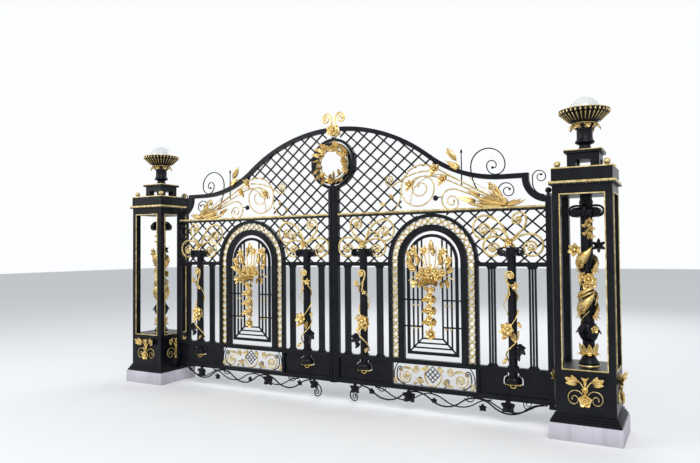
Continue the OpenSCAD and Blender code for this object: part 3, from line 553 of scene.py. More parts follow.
def archRings(forge):
    v, middle = archBand, gateway["archX"]
    pitch, step = (v["springZ"] - gateway["sillZ"]) / v["legRings"], 180 / v["arcRings"]
    for x in (middle - v["middle"], middle + v["middle"]):
        for i in range(v["legRings"]):
            z = gateway["sillZ"] + (i + 0.5) * pitch
            ringAt(forge, x, z, 90)
            ball(forge, (x, 0, z + pitch / 2), v["bead"], (1, 1, 0.8), 6, 10)
    for i in range(1, 2 * v["arcRings"]):  # a ring, then a bead
        a = i * step / 2
        x, z = middle + v["middle"] * cosd(a), v["springZ"] + v["middle"] * sind(a)
        if i % 2:
            ringAt(forge, x, z, a)
        else:
            ball(forge, (x, 0, z), v["bead"], rings=6, spokes=10)


eachLeaf(archRings, "ArchRings", "champagne", "arch_chain")


# C-scrolls over the columns: heading, path, place in mm, thinning

bayScroll = {
    "hub": (-0.010, 1.665), "wide": 0.021, "deep": 0.013, "y": -0.012,
    "bars": ((110, [(0, 86), (255, 52)] + coil(112, 5, 180, 0.64), (-10, 6), 0.7),
             (42, [(0, 128), (150, 44)] + coil(64, 4, 180, 0.62), (8, 10), 0.7),
             (32, [(0, 72), (185, -50)] + coil(98, 5, -180), (14, 2), 0.7),
             (146, [(0, 40), (165, 52)] + coil(88, 5), (-14, -2), 0.7),
             (118, [(0, 60), (120, 50), (40, 60), (16, 150)], (-6, 8), 0.5)),
    "clasp": ((100, 0.08, 0.04), (60, 0.066, 0.036), (138, 0.06, 0.036), (20, 0.048, 0.03),
              (168, 0.044, 0.03))}


def bayBars(part):
    v = bayScroll
    for heading, path, (x, z), thin in v["bars"]:
        scroll(part, path, (x / 1000, z / 1000), heading, v["wide"], v["deep"], v["y"], thin, 1.1)


def bayClasps(part):
    y = bayScroll["y"]
    leaves(part, [((0, y - 0.014, -0.018), (cosd(a), -0.3, sind(a)), length, wide)
                  for a, length, wide in bayScroll["clasp"]], cup=0.3, curl=0.6, lobes=3, rows=10)
    flower(part, (-0.004, y - 0.032, -0.012), 0.032, wide=0.9)
    leaves(part, (((0.016, y - 0.012, -0.026), (0.9, -0.25, -0.45), 0.055, 0.03),
                  ((-0.016, y - 0.012, -0.026), (-0.85, -0.25, -0.5), 0.05, 0.03)),
           cup=0.3, lobes=2, lobed=0.2)


eachLeaf(lambda forge: inBays(forge, bayBars, bayScroll["hub"]), "BayScrolls", "champagne", "bay_scrolls")
eachLeaf(lambda forge: inBays(forge, bayClasps, bayScroll["hub"]), "BayClasps", "gold")


# vines on the columns; a stem has two heights, two turns, then its width, thinning and flare

columnVine = {
    "shaft": 0.042, "stem": 0.016, "bell": 0.364, "bloom": ((-0.030, -0.058, 0.862), 0.082),
    "curl": [(0, 80), (200, 14), (0, 14), (110, -22)] + coil(37, 4, -180, 0.68),
    "stems": ((1.30, 1.0, -40, 260, 1, 1.1, 0), (1.035, 0.80, 100, -80, 1, 1.0, 0),
              (0.84, 0.56, 110, -120, 1.1, 0.9, 0.02), (1.17, 1.0, -50, -100, 0.8, 0.4, 0.03)),
    "ivy": ((-35, 0.10), (5, 0.085), (-75, 0.09), (40, 0.06))}


# a stem round an upright column at the origin; turns are counted from the front
def helix(forge, radius, start, end, turnFrom, turnTo, wide, thin, flare=0.0):
    verts, n, steps = [], 7, 34
    for k in range(steps + 1):
        t = k / steps
        size = wide / 2 * (1 + (thin - 1) * t)
        r = radius + wide * 0.45 + flare * math.sin(math.pi * t) ** 2
        for i in range(n):
            p = outward(turnFrom + (turnTo - turnFrom) * t) * (r + size * cosd(360 * i / n))
            verts.append((p.x, p.y, start + (end - start) * t + size * sind(360 * i / n)))
    forge.add(verts, tube(steps + 1, n))


def outward(a):  # level direction at an angle from the front, to the right when positive
    return Vector((sind(a), -cosd(a), 0))


def vineOnColumn(forge):
    v = columnVine
    y = -v["shaft"]
    scroll(forge, v["curl"], (-0.008, 1.175), 98, 0.014, 0.012, y - 0.016, 0.75)
    for start, end, turnFrom, turnTo, wide, thin, flare in v["stems"]:
        helix(forge, v["shaft"], start, end, turnFrom, turnTo, v["stem"] * wide, thin, flare)
    star(forge, (0.045, y - 0.024, 1.262), 0.036, (0.2, -1, 0.1), 5)
    star(forge, (-0.03, y - 0.014, 1.165), 0.024, (-0.3, -1, 0), 5)
    leaf(forge, (0.03, y - 0.008, 1.225), (0.75, -0.3, 0.6), (0.2, -1, 0), 0.06, 0.026)
    leaf(forge, (-0.05, y - 0.01, 0.60), (-0.3, -0.4, -0.85), (0, -1, 0.1), 0.07, 0.034, curl=0.7)
    leaf(forge, (0.05, -0.012, 0.93), (0.5, -0.2, -0.8), (0.4, -1, 0), 0.07, 0.03)
    (x, y, z), radius = v["bloom"]
    heart = (x + 0.008, y - radius * 0.3, z + 0.01)  # drooping petals, and a second ring over them
    flower(forge, (x, y, z), radius, (-0.25, -1, 0.1), 6, 0.72, 0.3, 0.7, 0.0, 80, 2)
    flower(forge, heart, radius * 0.66, (-0.1, -1, 0.25), 5, 0.85, 0.3, -0.2, 0.3, 60)
    leaves(forge, [((x + 0.03, y + 0.02, z - 0.03), (0.5, -0.3, -0.8), radius * 1.3, radius * 0.6)])
    leaves(forge, [((x, y + 0.01, z - 0.02), (-0.5, -0.3, -0.8), radius * 1.2, radius * 0.6)], curl=0.6)
    z = v["bell"]  # bar and ring on the bell at the foot
    bar(forge, [(-0.066, z, 0), (0, z, 0), (0.066, z, 0)], 0.024, 0.020, -0.01)
    bar(forge, walk([(26, 180)], (-0.026, z - 0.010), -90), 0.010, 0.012, -0.009)
    for x in (-0.066, 0.066):
        ball(forge, (x, -0.01, z), 0.013, rings=6, spokes=8)


def columnIvy(forge):
    leaves(forge, [((0.052, -0.02, 0.70), (cosd(a), -0.2, sind(a)), length, 0.055)
                   for a, length in columnVine["ivy"]], cup=0.2, curl=0.4, lobes=2)
    leaves(forge, [((0.04, -0.03, 0.64), (0.5, -0.2, -0.8), 0.07, 0.04)], cup=0.2, curl=0.4)


eachLeaf(lambda forge: inBays(forge, vineOnColumn), "ColumnVines", "gold", "column_vines")
eachLeaf(lambda forge: inBays(forge, columnIvy), "ColumnIvy", "iron")


# panel under the arch, its right half; a curl has centre, radius in mm, first angle, half turns, turn, width

plaque = {
    "spot": (gateway["archX"], -0.004, 0.257), "lozenge": (0.076, 0.078, 0.124),
    "curls": (((0.272, 0.095), 81, 142, 5, -180, 0.0145), ((0.185, 0.163), 34, -38, 4, -180, 0.0125),
              ((0.392, 0.040), 28, 120, 3, -180, 0.011), ((0.140, 0.050), 26, 60, 3, 180, 0.011)),
    "lobed": (((0.10, -0.006, 0.045), (0.85, -0.15, 0.45), 0.085, 0.034),
              ((0.235, -0.006, 0.165), (0.9, -0.15, 0.2), 0.075, 0.03)),
    "plain": (((0.205, -0.006, 0.02), (-0.9, -0.15, 0.35), 0.06, 0.026),
              ((0.075, -0.006, 0.18), (0.85, -0.15, -0.3), 0.055, 0.026))}


def plaqueBars(part):
    for (x, z), radius, start, halves, turn, wide in plaque["curls"]:
        at = (x + radius / 1000 * cosd(start), z + radius / 1000 * sind(start))
        scroll(part, coil(radius, halves, turn, 0.68), at, start + math.copysign(90, turn), wide, thin=0.68)
    path = [(110, 75), (60, 60)] + coil(17, 2, -180, 0.6)
    scroll(part, path, (0.006, 0.009), 15, 0.014, y=-0.004, thin=0.75)
    leaves(part, plaque["lobed"], lobes=2)
    leaves(part, plaque["plain"])
    ball(part, (0.272, -0.008, 0.095), 0.015, (1, 0.6, 1), 6, 10)


def plaqueEnds(part):
    scroll(part, [(85, 100), (0, 46)] + coil(26, 3, 180, 0.62), (0.302, 0.010), 0, y=0.002, thin=0.7)
    scroll(part, [(70, 60)] + coil(22, 3, 180, 0.62), (0.112, 0.008), 15, 0.010, 0.010, 0.004, 0.7)
    bar(part, walk([(200, 40), (120, 30)], (0.415, 0.05), 80), 0.010, 0.010, 0.002, 0.8)


def lozengeBars(part):
    wide, high, middle = plaque["lozenge"]
    for share in (-1, -0.34, 0.34, 1):
        for side in (-1, 1):
            lean = -side * math.degrees(math.atan2(high, wide))
            ends = [((share + k) * wide / 2, middle + side * (share - k) * high / 2, lean) for k in (-1, 1)]
            bar(part, ends, 0.009, 0.009, -0.010)


def inHalves(forge, make):
    for sign in (-1, 1):
        forge.take(make, plaque["spot"], sign)


def plaqueIron(forge):
    inHalves(forge, plaqueEnds)
    forge.take(lozengeBars, plaque["spot"])


eachLeaf(lambda forge: inHalves(forge, plaqueBars), "PlaqueScrolls", "champagne", "scroll_panel")
eachLeaf(plaqueIron, "PlaqueIron", "iron")


# vine under the leaf: a wave, a thinner bar that crosses it, curls that turn one way or the other, ivy leaves

groundVine = {
    "start": 0.30, "wave": 0.617, "drop": 0.112, "waves": 3, "top": 0.207, "bar": 0.015,
    "crossing": ((0, 0.17), (1, 0.15), (2, 0.03)),
    "curls": ((0.55, 0.165, 1), (1.47, 0.16, 1), (2.02, 0.15, -1)),
    "ivy": ((0.25, 0.155, 0.088), (0.86, 0.14, 0.106), (1.84, 0.15, 0.1), (0.44, 0.15, 0.05),
            (1.60, 0.115, 0.056), (1.12, 0.13, 0.044)),
    "lobes": ((90, 0.9), (150, 0.8), (30, 0.8), (215, 0.7), (-35, 0.7))}


def wavePath(v, share=1.0):
    bend = 2 * math.degrees(math.atan(2 * v["drop"] * share / v["wave"]))
    radius = 1000 * v["wave"] / (4 * sind(bend))
    return [(radius, -bend), (radius, bend * 2), (radius, -bend)]


def vineBelow(forge):
    v = groundVine
    start, top = v["start"], v["top"]
    bar(forge, walk(wavePath(v) * v["waves"], (start, top - v["bar"] / 2 - 0.002), 0), v["bar"], 0.013)
    for k, shift in v["crossing"]:
        points = walk(wavePath(v, 0.86), (start + shift + k * v["wave"], top - 0.010), 0)
        bar(forge, points, 0.0125, 0.011, 0.007 * (-1) ** k, 0.9)
    scroll(forge, [(120, 60), (70, 90)] + coil(38, 3), (0.31, top - 0.03), 168, y=0.004, thin=0.6)
    for x, z, s in v["curls"]:
        scroll(forge, [(60, 70 * s), (40, 180 * s), (27, 180 * s), (17, 120 * s)], (x - s * 0.05, z + 0.03),
               -90 + s * 30, 0.010, 0.011, -0.005, 0.6)
    for x, z, size in v["ivy"]:
        leaves(forge, [((x, -0.008, z), (cosd(a), -0.15, sind(a)), size * share, size * 0.55)
                       for a, share in v["lobes"]], cup=0.2, curl=0.35, rows=6, cols=5)
        ball(forge, (x, -0.012, z), size * 0.14, rings=5, spokes=8)


eachLeaf(vineBelow, "GroundVine", "iron", "ground_vine")
print("leaf scrolls made")


# spray over the band rail; a branch has path, heading, y, height over the origin, thinning, size of its eye

spray = {
    "origin": (1.8304, 2.014), "wide": 0.0145,
    "branches": (
        ([(0, 799), (232, 121), (176, 180), (116, 180), (76, 180), (48, 150)], 150.4, -0.002, 0, 0.7, 1.2),
        ([(0, 560), (330, 60), (240, 62)], 152.0, -0.010, 0.014, 0.5, 0.6),
        ([(0, 600), (620, 24), (240, 30), (120, 60)], 154.5, 0.008, -0.006, 0.5, 0.6),
        ([(0, 470), (190, 22), (100, 180), (66, 180), (43, 180), (26, 120)], 158.5, -0.012, -0.02, 0.7, 1.2)),
    "flowers": ((1.150, 2.385, 0.054), (1.230, 2.278, 0.050), (0.885, 2.245, 0.054)),
    "back": ((8, 230), (16, 190), (26, 130)), "upright": ((100, 120), (80, 90), (118, 160))}


def sprayBars(forge):
    v = spray
    x, z = v["origin"]
    for path, heading, y, over, thin, eye in v["branches"]:
        scroll(forge, path, (x, z + over), heading, v["wide"], 0.012, y, thin, eye)
    bar(forge, walk([(420, -40), (260, -46), (0, 60)], (0.797, 2.19), 262), 0.009, 0.011, -0.008, 0.7)
    path = [(607, 34), (0, 60)] + coil(55, 4, -180, 0.64)
    scroll(forge, path, (1.10, 2.372), 178, 0.014, y=-0.014, thin=0.7)
    scroll(forge, [(900, 18), (260, -30)], (1.80, 2.03), 132, 0.008, 0.01, -0.004, 0.5, 0.6)
    scroll(forge, [(900, 14), (300, 30)], (1.79, 2.03), 140, 0.008, 0.01, 0.004, 0.5, 0.6)


def sprayLeaves(forge):
    v, y = spray, -0.012
    for k in range(11):  # strands that fan out to the left
        t = k / 10
        heading, length = 180 - 58 * t, 470 - 250 * t + 40 * math.sin(7 * t)
        bend = 0.9 if k % 2 else 1.4
        path = [(0, length * 0.3), (length * bend, -16 + 34 * t), (length * 0.6, 10 + 22 * t)]
        line = drawn(path, (1.855 - 0.02 * t, 2.000 + 0.022 * t), heading - 8 * t, y - 0.004 * (k % 3), 0.02)
        # every other strand gets more painted shade
        blade(forge, line, 0.040 - 0.008 * t, 0.45, 0.10 + 0.14 * (k % 2))
    for heading, length in v["back"]:
        line = drawn([(0, length * 0.4), (length, 24)], (1.85, 2.002), heading, y, 0.012)
        blade(forge, line, 0.036, 0.45, 0.15)
    for heading, length in v["upright"]:
        line = drawn([(0, length * 0.3), (length * 0.5, 50)], (1.845, 2.01), heading, y - 0.01, 0.02)
        blade(forge, line, 0.038, 0.45, 0.1)
    leaf(forge, (1.56, y - 0.006, 2.05), (-0.98, -0.1, 0.2), (0, -1, 0.3), 0.17, 0.05, 0.25, 0.3, thick=0.004)
    bud(forge, (1.71, -0.01, 2.145), (-0.25, -0.1, 1), 0.075, 0.022)
    for x, z, r in v["flowers"]:
        flower(forge, (x, -0.018, z), r, petals=6, wide=0.7)
        leaves(forge, (((x + 0.02, -0.01, z), (0.6, -0.2, 0.7), 0.06, 0.026),
                       ((x - 0.01, -0.01, z - 0.02), (-0.5, -0.2, -0.8), 0.06, 0.026)))
    leaves(forge, (((1.60, y, 2.10), (-0.9, -0.1, 0.42), 0.13, 0.034),
                   ((0.70, y, 2.11), (-0.4, -0.2, 0.9), 0.07, 0.03),
                   ((0.62, y, 2.05), (-0.9, -0.2, 0.3), 0.07, 0.03)))


eachLeaf(sprayBars, "SprayBars", "champagne", "spray")
eachLeaf(sprayLeaves, "SprayLeaves", "bronzeGold")


# black scrolls, spear and knobs round the shoulder of the top rail

shoulderIron = {
    "scrolls": (
        ((1.577, 2.157), 122.4, [(418, -32.4), (164, -180), (87, -180), (46, -180), (24, -120)], 0.0115),
        ((1.896, 2.000), 176, [(136, -86), (74, -180), (48, -180), (31, -150)], 0.011),
        ((2.190, 2.083), 172, [(0, 8), (110, -82), (0, 53), (58, -180), (38, -180), (25, -120)], 0.010)),
    "spear": (1.420, 2.214, 2.545)}


def shoulderBars(forge):
    for at, heading, path, wide in shoulderIron["scrolls"]:
        scroll(forge, path, at, heading, wide, 0.014, 0.0, 0.75, 1.5)
    x, low, high = shoulderIron["spear"]
    bar(forge, [(x, low, 90), (x, (low + high) / 2, 90), (x, high, 90)], thin=0.8)
    bud(forge, (x, 0, high - 0.03), (0, 0, 1), 0.045, 0.011)
    ball(forge, (1.157, -0.010, 2.100), 0.028, (1, 0.7, 1))
    ball(forge, (1.145, 0, 2.442), 0.021, (1, 0.8, 1))
    bar(forge, [(1.165, 2.104, 4), (1.20, 2.106, 4), (1.232, 2.110, 4)], 0.012, 0.010, -0.012, 0.7)


eachLeaf(shoulderBars, "ShoulderScrolls", "iron", "shoulder_scrolls")


# bud on the top rail, and the leaves that lie along both sides of it: heading and length

crest = {"foot": (1.388, 2.372), "leaves": ((141, 165), (150, 120), (131, 120), (160, 80)), "wide": 0.042}


def crestBud(forge):
    bar(forge, [(1.391, 2.356, 101), (1.380, 2.410, 101), (1.370, 2.468, 101)], 0.010, 0.010, -0.002, 0.9)
    bud(forge, (1.368, -0.004, 2.455), (-0.57, -0.1, 0.82), 0.155, 0.033)
    leaf(forge, (1.345, -0.012, 2.49), (-0.8, -0.15, 0.55), (0, -1, 0.3), 0.09, 0.035)
    for side in (-1, 1):
        for heading, length in crest["leaves"]:
            points = walk([(0, length * 0.4), (length * 1.5, 18)], crest["foot"], heading)
            line = [(Vector((x, side * (0.026 + 0.012 * k / len(points)), z)), Vector((0, side, 0)))
                    for k, (x, z, d) in enumerate(points)]
            blade(forge, line, crest["wide"], 0.4, 0.05)


eachLeaf(crestBud, "CrestBud", "gold")


# basket of flowers in the arch window; each row starts with the way across from its middle

basket = {
    "spot": (gateway["archX"], -0.022, 0), "foot": 0.775,
    "blooms": ((-0.105, 1.345, 0.05), (-0.045, 1.322, 0.058), (0.022, 1.318, 0.06), (0.085, 1.335, 0.054),
               (0.125, 1.372, 0.042), (-0.012, 1.382, 0.048), (0.05, 1.39, 0.042), (-0.075, 1.392, 0.04)),
    "stems": ((-0.03, 116, [(0, 60), (900, -14)]), (-0.02, 106, [(0, 80), (700, -12), (300, -8)]),
              (-0.01, 93, [(0, 150), (900, -8)]), (0.02, 78, [(0, 70), (900, 10), (300, 8)]),
              (0.03, 64, [(0, 60), (700, 12)]), (-0.05, 132, [(0, 50), (300, -30)]),
              (0.05, 48, [(0, 50), (300, 26)])),
    "stars": ((-0.177, 1.592, 0.052, 6), (-0.062, 1.588, 0.052, 6), (0.126, 1.573, 0.052, 6),
              (0.182, 1.50, 0.046, 5)),
    "buds": ((-0.205, 1.49, (-0.25, -0.2, 1), 0.12), (-0.175, 1.43, (-0.8, -0.2, 0.6), 0.11),
             (-0.13, 1.47, (-0.15, -0.2, 1), 0.12), (-0.15, 1.42, (-0.9, -0.2, 0.1), 0.10),
             (0.10, 1.47, (0.1, -0.2, 1), 0.12), (0.155, 1.44, (0.7, -0.2, 0.7), 0.11),
             (0.16, 1.40, (0.95, -0.2, 0.15), 0.10), (0.03, 1.56, (-0.1, -0.2, 1), 0.09))}


def basketFlowers(part):
    v = basket

    def stem(x, z, heading, path, wide):
        bar(part, walk(path, (x, z), heading), wide, wide * 0.9, -0.002, 0.7)
    flower(part, (-0.004, -0.012, v["foot"]), 0.062, petals=6, lobes=2)  # rosette at the foot
    stem(0, v["foot"], 90, [(0, 60), (220, 20), (220, -40), (220, 20), (0, 320)], 0.017)
    for k in range(7):  # leafy stem
        z, size = 0.865 + 0.055 * k, 0.104 if k % 2 else 0.09
        leaves(part, [((0.006 * s, -0.008, z), (0.8 * s, -0.3, 0.5 - 0.95 * (k % 2)), size, size * 0.52)
                      for s in (-1, 1)], cup=0.3, curl=0.7, lobes=3, rows=11, dark=0.05)
        flower(part, (0.012 * (-1) ** k, -0.03, z + 0.012), 0.036, wide=0.9)
    for a in range(-84, 85, 21):  # row of leaves under the bloom
        leaf(part, (0.03 * sind(a), -0.008, 1.262), (sind(a), -0.45, cosd(a) * 0.6), (0, -1, 0.2), 0.12,
             0.056, 0.3, 0.8, 3, rows=11)
    for x, z, r in v["blooms"]:
        flower(part, (x, -0.036, z), r, (x * 2, -1, 0.2), 5, 0.9, lobes=2)
    for x, heading, path in v["stems"]:
        stem(x, 1.36, heading, path, 0.013)
    for x, z, r, points in v["stars"]:
        star(part, (x, -0.014, z), r, (x, -1, 0.2), points)
        ball(part, (x, -0.02, z), r * 0.24, rings=6, spokes=8)
    bud(part, (0.002, 0, 1.585), (0.02, -0.1, 1), 0.11, 0.03)
    for x, z, way, size in v["buds"]:
        leaf(part, (x, -0.004, z), way, front, size, size * 0.5, 0.35, 0.5, 2, 0.2, rows=10)
        bud(part, (x, -0.018, z - 0.025), way, size * 0.75, size * 0.2)
    for s in (-1, 1):  # arms that droop at each side
        stem(0.03 * s, 1.29, 90 - s * 58, [(0, 60), (110, -70 * s), (0, 40)], 0.012)
        leaves(part, (((0.13 * s, -0.004, 1.295), (0.85 * s, -0.2, -0.3), 0.095, 0.045),
                      ((0.155 * s, -0.004, 1.28), (0.5 * s, -0.2, -0.8), 0.08, 0.04),
                      ((0.10 * s, -0.006, 1.285), (0.3 * s, -0.3, -0.9), 0.08, 0.04)), lobes=2)


eachLeaf(lambda forge: forge.take(basketFlowers, basket["spot"]), "FlowerBasket", "gold", "bouquet")


# small collars where the bars of the window cross

windowStuds = {"cross": (0.825, 1.05), "bars": (-0.191, -0.145, 0.145, 0.191), "radius": 0.012}


def studs(forge):
    for z in windowStuds["cross"]:
        for x in windowStuds["bars"]:
            ball(forge, (gateway["archX"] + x, -0.008, z), windowStuds["radius"], (1, 0.8, 1), 6, 10)


eachLeaf(studs, "WindowStuds", "champagne")
print("leaf flowers made")


# wreath in the crown ring, with count, reach and size of the leaves in each row, and the rosette above it

crown = {
    "ringZ": 2.525, "bossZ": 2.877, "wreath": 0.166, "sprigs": (78, 118, 28, 150),
    "rows": ((17, 0.014, 0.112), (13, -0.018, 0.092), (11, 0.0, 0.085)),
    "bow": ((0.8, -0.3, -0.3), (-0.8, -0.3, -0.3), (0.3, -0.4, -0.8), (-0.3, -0.4, -0.8))}


def wreathLeaves(forge):
    v = crown
    for row, (count, reach, size) in enumerate(v["rows"]):
        for i in range(count):
            a = 360 * (i + random.uniform(-0.25, 0.25)) / count
            radius = v["wreath"] + reach + random.uniform(-0.008, 0.008)
            root = Vector((radius * cosd(a), -0.022 - 0.008 * row, v["ringZ"] + radius * sind(a)))
            lean = random.uniform(0.25, 1.1) * (1, -1, 0.4)[row] * (1 if i % 4 else -1)
            way = (-sind(a) * 0.85 + cosd(a) * lean, -0.25 - 0.15 * row, cosd(a) * 0.85 + sind(a) * lean)
            length = size * random.uniform(0.8, 1.1)
            leaf(forge, root, way, (0.25 * cosd(a), -1, 0.3), length, size * 0.46, 0.45, 0.7, 3, 0.3, rows=11,
                 rib=0.25)
            if row == 2 and i % 3 == 1:
                flower(forge, root + Vector((0.01, -0.014, 0)), 0.036, wide=0.85)
    # the two hoops under the leaves get painted shade
    for radius in (v["wreath"] - 0.014, v["wreath"] + 0.012):
        points = walk([(radius * 1000, 180)] * 2, (0, v["ringZ"] - radius), 0)
        bar(forge, points, 0.010, 0.012, -0.016, depth=0.5)
    for a in v["sprigs"]:
        root = (v["wreath"] * cosd(a), -0.03, v["ringZ"] + v["wreath"] * sind(a))
        leaf(forge, root, (cosd(a + 20), -0.3, sind(a + 20)), front, 0.08, 0.03, rows=8)
    leaves(forge, [((0, -0.034, v["ringZ"] - v["wreath"]), way, 0.085, 0.045) for way in v["bow"]],
           cup=0.3, lobes=3, rows=10)


def crownRosette(forge):
    z = crown["bossZ"]
    for s in (-1, 1):
        path = [(56, -s * 68), (0, 39), (56, -s * 180), (38, -s * 180), (25, -s * 180)]
        scroll(forge, path, (s * 0.058, z + 0.045), 90 + s * 68, 0.021, 0.018, 0.0, 0.7, 1.1)
    turned(forge, [(0.054, -0.034), (0.058, -0.03), (0.058, 0.03), (0.054, 0.034)], (0, 0, z), 28,
           frameOf=Matrix.Rotation(math.radians(90), 3, "X"))
    for side in (-1, 1):
        flower(forge, (0, side * 0.036, z), 0.066, (0, side, 0), 6, 0.85, 0.4, 0.3, 0.0)
        flower(forge, (0, side * 0.0486, z), 0.037, (0, side, 0), 5, 0.85, 0.35, 0.3, 0.34, 75)


def overMiddle(make, name, node):
    forge = Forge()
    forge.take(make, (gateway["middleX"], 0, 0))
    forge.build(name, "gold", "left_leaf", [node])


overMiddle(wreathLeaves, "crownWreath", "wreath")
overMiddle(crownRosette, "crownRosette", "crown_rosette")
print("crown made")


# ornament of the lower boxes

boxSpray = {
    "low": 0.337, "face": 0.24, "sprig": ((30, 0.110, 0.050), (62, 0.088, 0.038), (4, 0.092, 0.038)),
    "mouth": ((0.3, 0), (0.32, 0.25), (0.42, 0.5), (0.62, 0.72), (1.0, 0.97), (0.96, 1.0), (0.5, 0.8),
              (0.2, 0.6))}


def onFaces(forge, make, out=boxSpray["face"]):  # the same ornament toward each side of a post
    part = Forge()
    make(part)
    for k in range(4):
        turn = Matrix.Rotation(math.radians(90 * k), 3, "Z")
        forge.add([turn @ Vector((x, y - out, z)) for x, y, z in part.points], part.faces, part.depth)


def boxOrnament(part):
    z, y = boxSpray["low"], -0.008
    flower(part, (0, y - 0.006, z), 0.060, wide=0.9, cup=0.4, rise=0.3, heart=0.0)
    flower(part, (0, y - 0.018, z), 0.030, wide=0.9, heart=0.3, spin=54)
    bar(part, [(0, z + 0.03, 90), (0, z + 0.09, 90), (0, z + 0.13, 90)], 0.017, 0.014, y, 0.8)
    # painted shade inside the lip of the mouth
    turned(part, [(0.032 * r, 0.078 * h) for r, h in boxSpray["mouth"]], (0, y, z + 0.115), 18,
           lambda a, t: 1 + 0.12 * t * math.cos(5 * a), lambda a, t: 0.75 if t > 0.8 else 0.1,
           standing((0, -0.12, 1)))
    for s in (-1, 1):
        leaves(part, [((0, y, z + 0.06), (0.5 * s, -0.2, 0.85), 0.05, 0.02)])
        bar(part, walk([(140, s * -50)], (0.004 * s, z + 0.07), 90 - s * 8), 0.010, 0.010, y, 0.8)
        leaves(part, [((0.064 * s, y, z + 0.138), (s * cosd(tilt), -0.22, sind(tilt)), length, wide)
                      for tilt, length, wide in boxSpray["sprig"]], cup=0.45, curl=0.35, rows=11, rib=0.3)


def boxCurls(part):
    for s in (-1, 1):
        path = [(60, -s * 150), (58, -s * 60), (36, -s * 180), (22, -s * 150)]
        scroll(part, path, (0.02 * s, boxSpray["low"] + 0.04), 90 - s * 20, 0.008, 0.01, -0.006, 0.6)


eachPost(lambda forge: onFaces(forge, boxOrnament), "boxSprays", "gold", ["panel_ornaments"])
eachPost(lambda forge: onFaces(forge, boxCurls), "boxCurls", "champagne")


# garland on the post columns: heights, then angles from the front, then sizes

garland = {
    "shaft": 0.050,
    "flames": ((0.985, 1.220, -118, 108, 58), (0.985, 1.220, 62, 108, 238), (1.380, 1.610, -122, 104, 40),
               (1.380, 1.600, 58, 104, 220)),
    "climbing": ((1.685, 34), (1.715, 8), (1.752, 36), (1.785, 6), (1.822, 27)),
    "cluster": ((1.350, -28, 0.046), (1.335, 14, 0.052), (1.292, 38, 0.048), (1.275, 2, 0.042),
                (1.318, 165, 0.05), (1.285, 215, 0.046)),
    "darkStems": ((1.46, 95), (1.22, -100), (1.10, 90), (1.02, -60))}


def up(z): return Vector((0, 0, z))


# one long blade laid round a column, its tip standing off a little
def strand(forge, radius, low, high, turnFrom, turnTo, wide, bulge=0.018, dark=0.05):
    line = []
    for t in (k / 12 for k in range(13)):
        out = outward(turnFrom + (turnTo - turnFrom) * t ** 1.25)
        off = radius + 0.006 + bulge * math.sin(math.pi * min(1, t * 1.1)) + 0.022 * t ** 3
        line.append((out * off + up(low + (high - low) * t ** 0.85), out))
    blade(forge, line, wide, 0.55, dark)


# an acanthus leaf round a column: strands that start side by side and run together into one tip
def flame(forge, radius, low, high, turnFrom, spread, tip):
    for k in range(6):
        share, back = k / 5, 5 - k
        start = low + (high - low) * (0.02 + 0.30 * share * share) + 0.012 * (k % 2)
        # every other strand gets more painted shade
        strand(forge, radius, start, high - 0.006 * back, turnFrom + spread * share, tip - 6 * back, 0.056,
               0.020 + 0.014 * math.sin(math.pi * share), 0.10 * (k % 2))
        curl = outward(turnFrom + spread * share - 8)
        root = curl * (radius + 0.008) + up(start + 0.035)
        leaf(forge, root, curl * 0.4 + up(-0.9), curl, 0.06, 0.034, 0.35, 0.6, rib=0.3)


def postGarland(forge):
    v, r = garland, garland["shaft"]
    turned(forge, [(0.060, 0.568), (0.084, 0.572), (0.089, 0.586), (0.084, 0.600), (0.060, 0.604)], spokes=36)
    for k in range(9):  # collar of upright leaves
        out = outward(40 * k + 12)
        leaf(forge, out * (r + 0.008) + up(0.676), out * 0.04 + up(1), out, 0.104, 0.052, 0.35, 0.35)
        leaf(forge, out * (r + 0.004) + up(0.700), out * 0.7 + up(-0.5), out, 0.05, 0.04, 0.3, 0.5, 2, 0.2)
    turned(forge, [(r, 0.684), (r + 0.016, 0.689), (r + 0.016, 0.703), (r, 0.708)], spokes=24)
    flower(forge, outward(42) * (r + 0.034) + up(0.905), 0.036, outward(30), 5, 0.85)
    for low, high, start, spread, tip in v["flames"]:
        flame(forge, r, low, high, start, spread, tip)
    for start, end in ((-100, 66), (80, 246)):  # ribbon over the lower leaf
        strand(forge, r + 0.008, 1.135, 1.275, start, end, 0.040)
        # the strand under it gets more painted shade
        strand(forge, r + 0.004, 1.105, 1.240, start - 8, end + 4, 0.030, 0.012, 0.2)
    helix(forge, r, 0.93, 1.06, -110, 20, 0.015, 0.6)
    for z, a, size in v["cluster"]:
        out = outward(a)
        flower(forge, out * (r + 0.014) + up(z), size, out, 5, 0.85, 0.4, 0.5, 0.3)
        leaf(forge, out * r + up(z + 0.01), outward(a + 60) * 0.7 + up(0.6), out, size * 1.4, size * 0.6)
    for z, a in v["climbing"]:  # small leaves up the shaft
        out, side = outward(a), outward(a + 90)
        for way in (side * 0.9 + up(0.5), side * -0.9 + up(0.35), up(1)):
            leaf(forge, out * (r + 0.004) + up(z), way + out * 0.5, out, 0.052, 0.026, 0.3, 0.4)
    bloom = outward(-75) * 0.098 + up(1.586)
    flower(forge, bloom, 0.064, (-0.2, -1, 0), 6, 0.7, 0.35, 0.4, 0.24, 80, 2)
    bar(forge, [(bloom.x, 1.586, 0), (-0.066, 1.580, -12), (-0.040, 1.556, -50), (-0.030, 1.530, -75)], 0.015,
        0.015, bloom.y - 0.012)


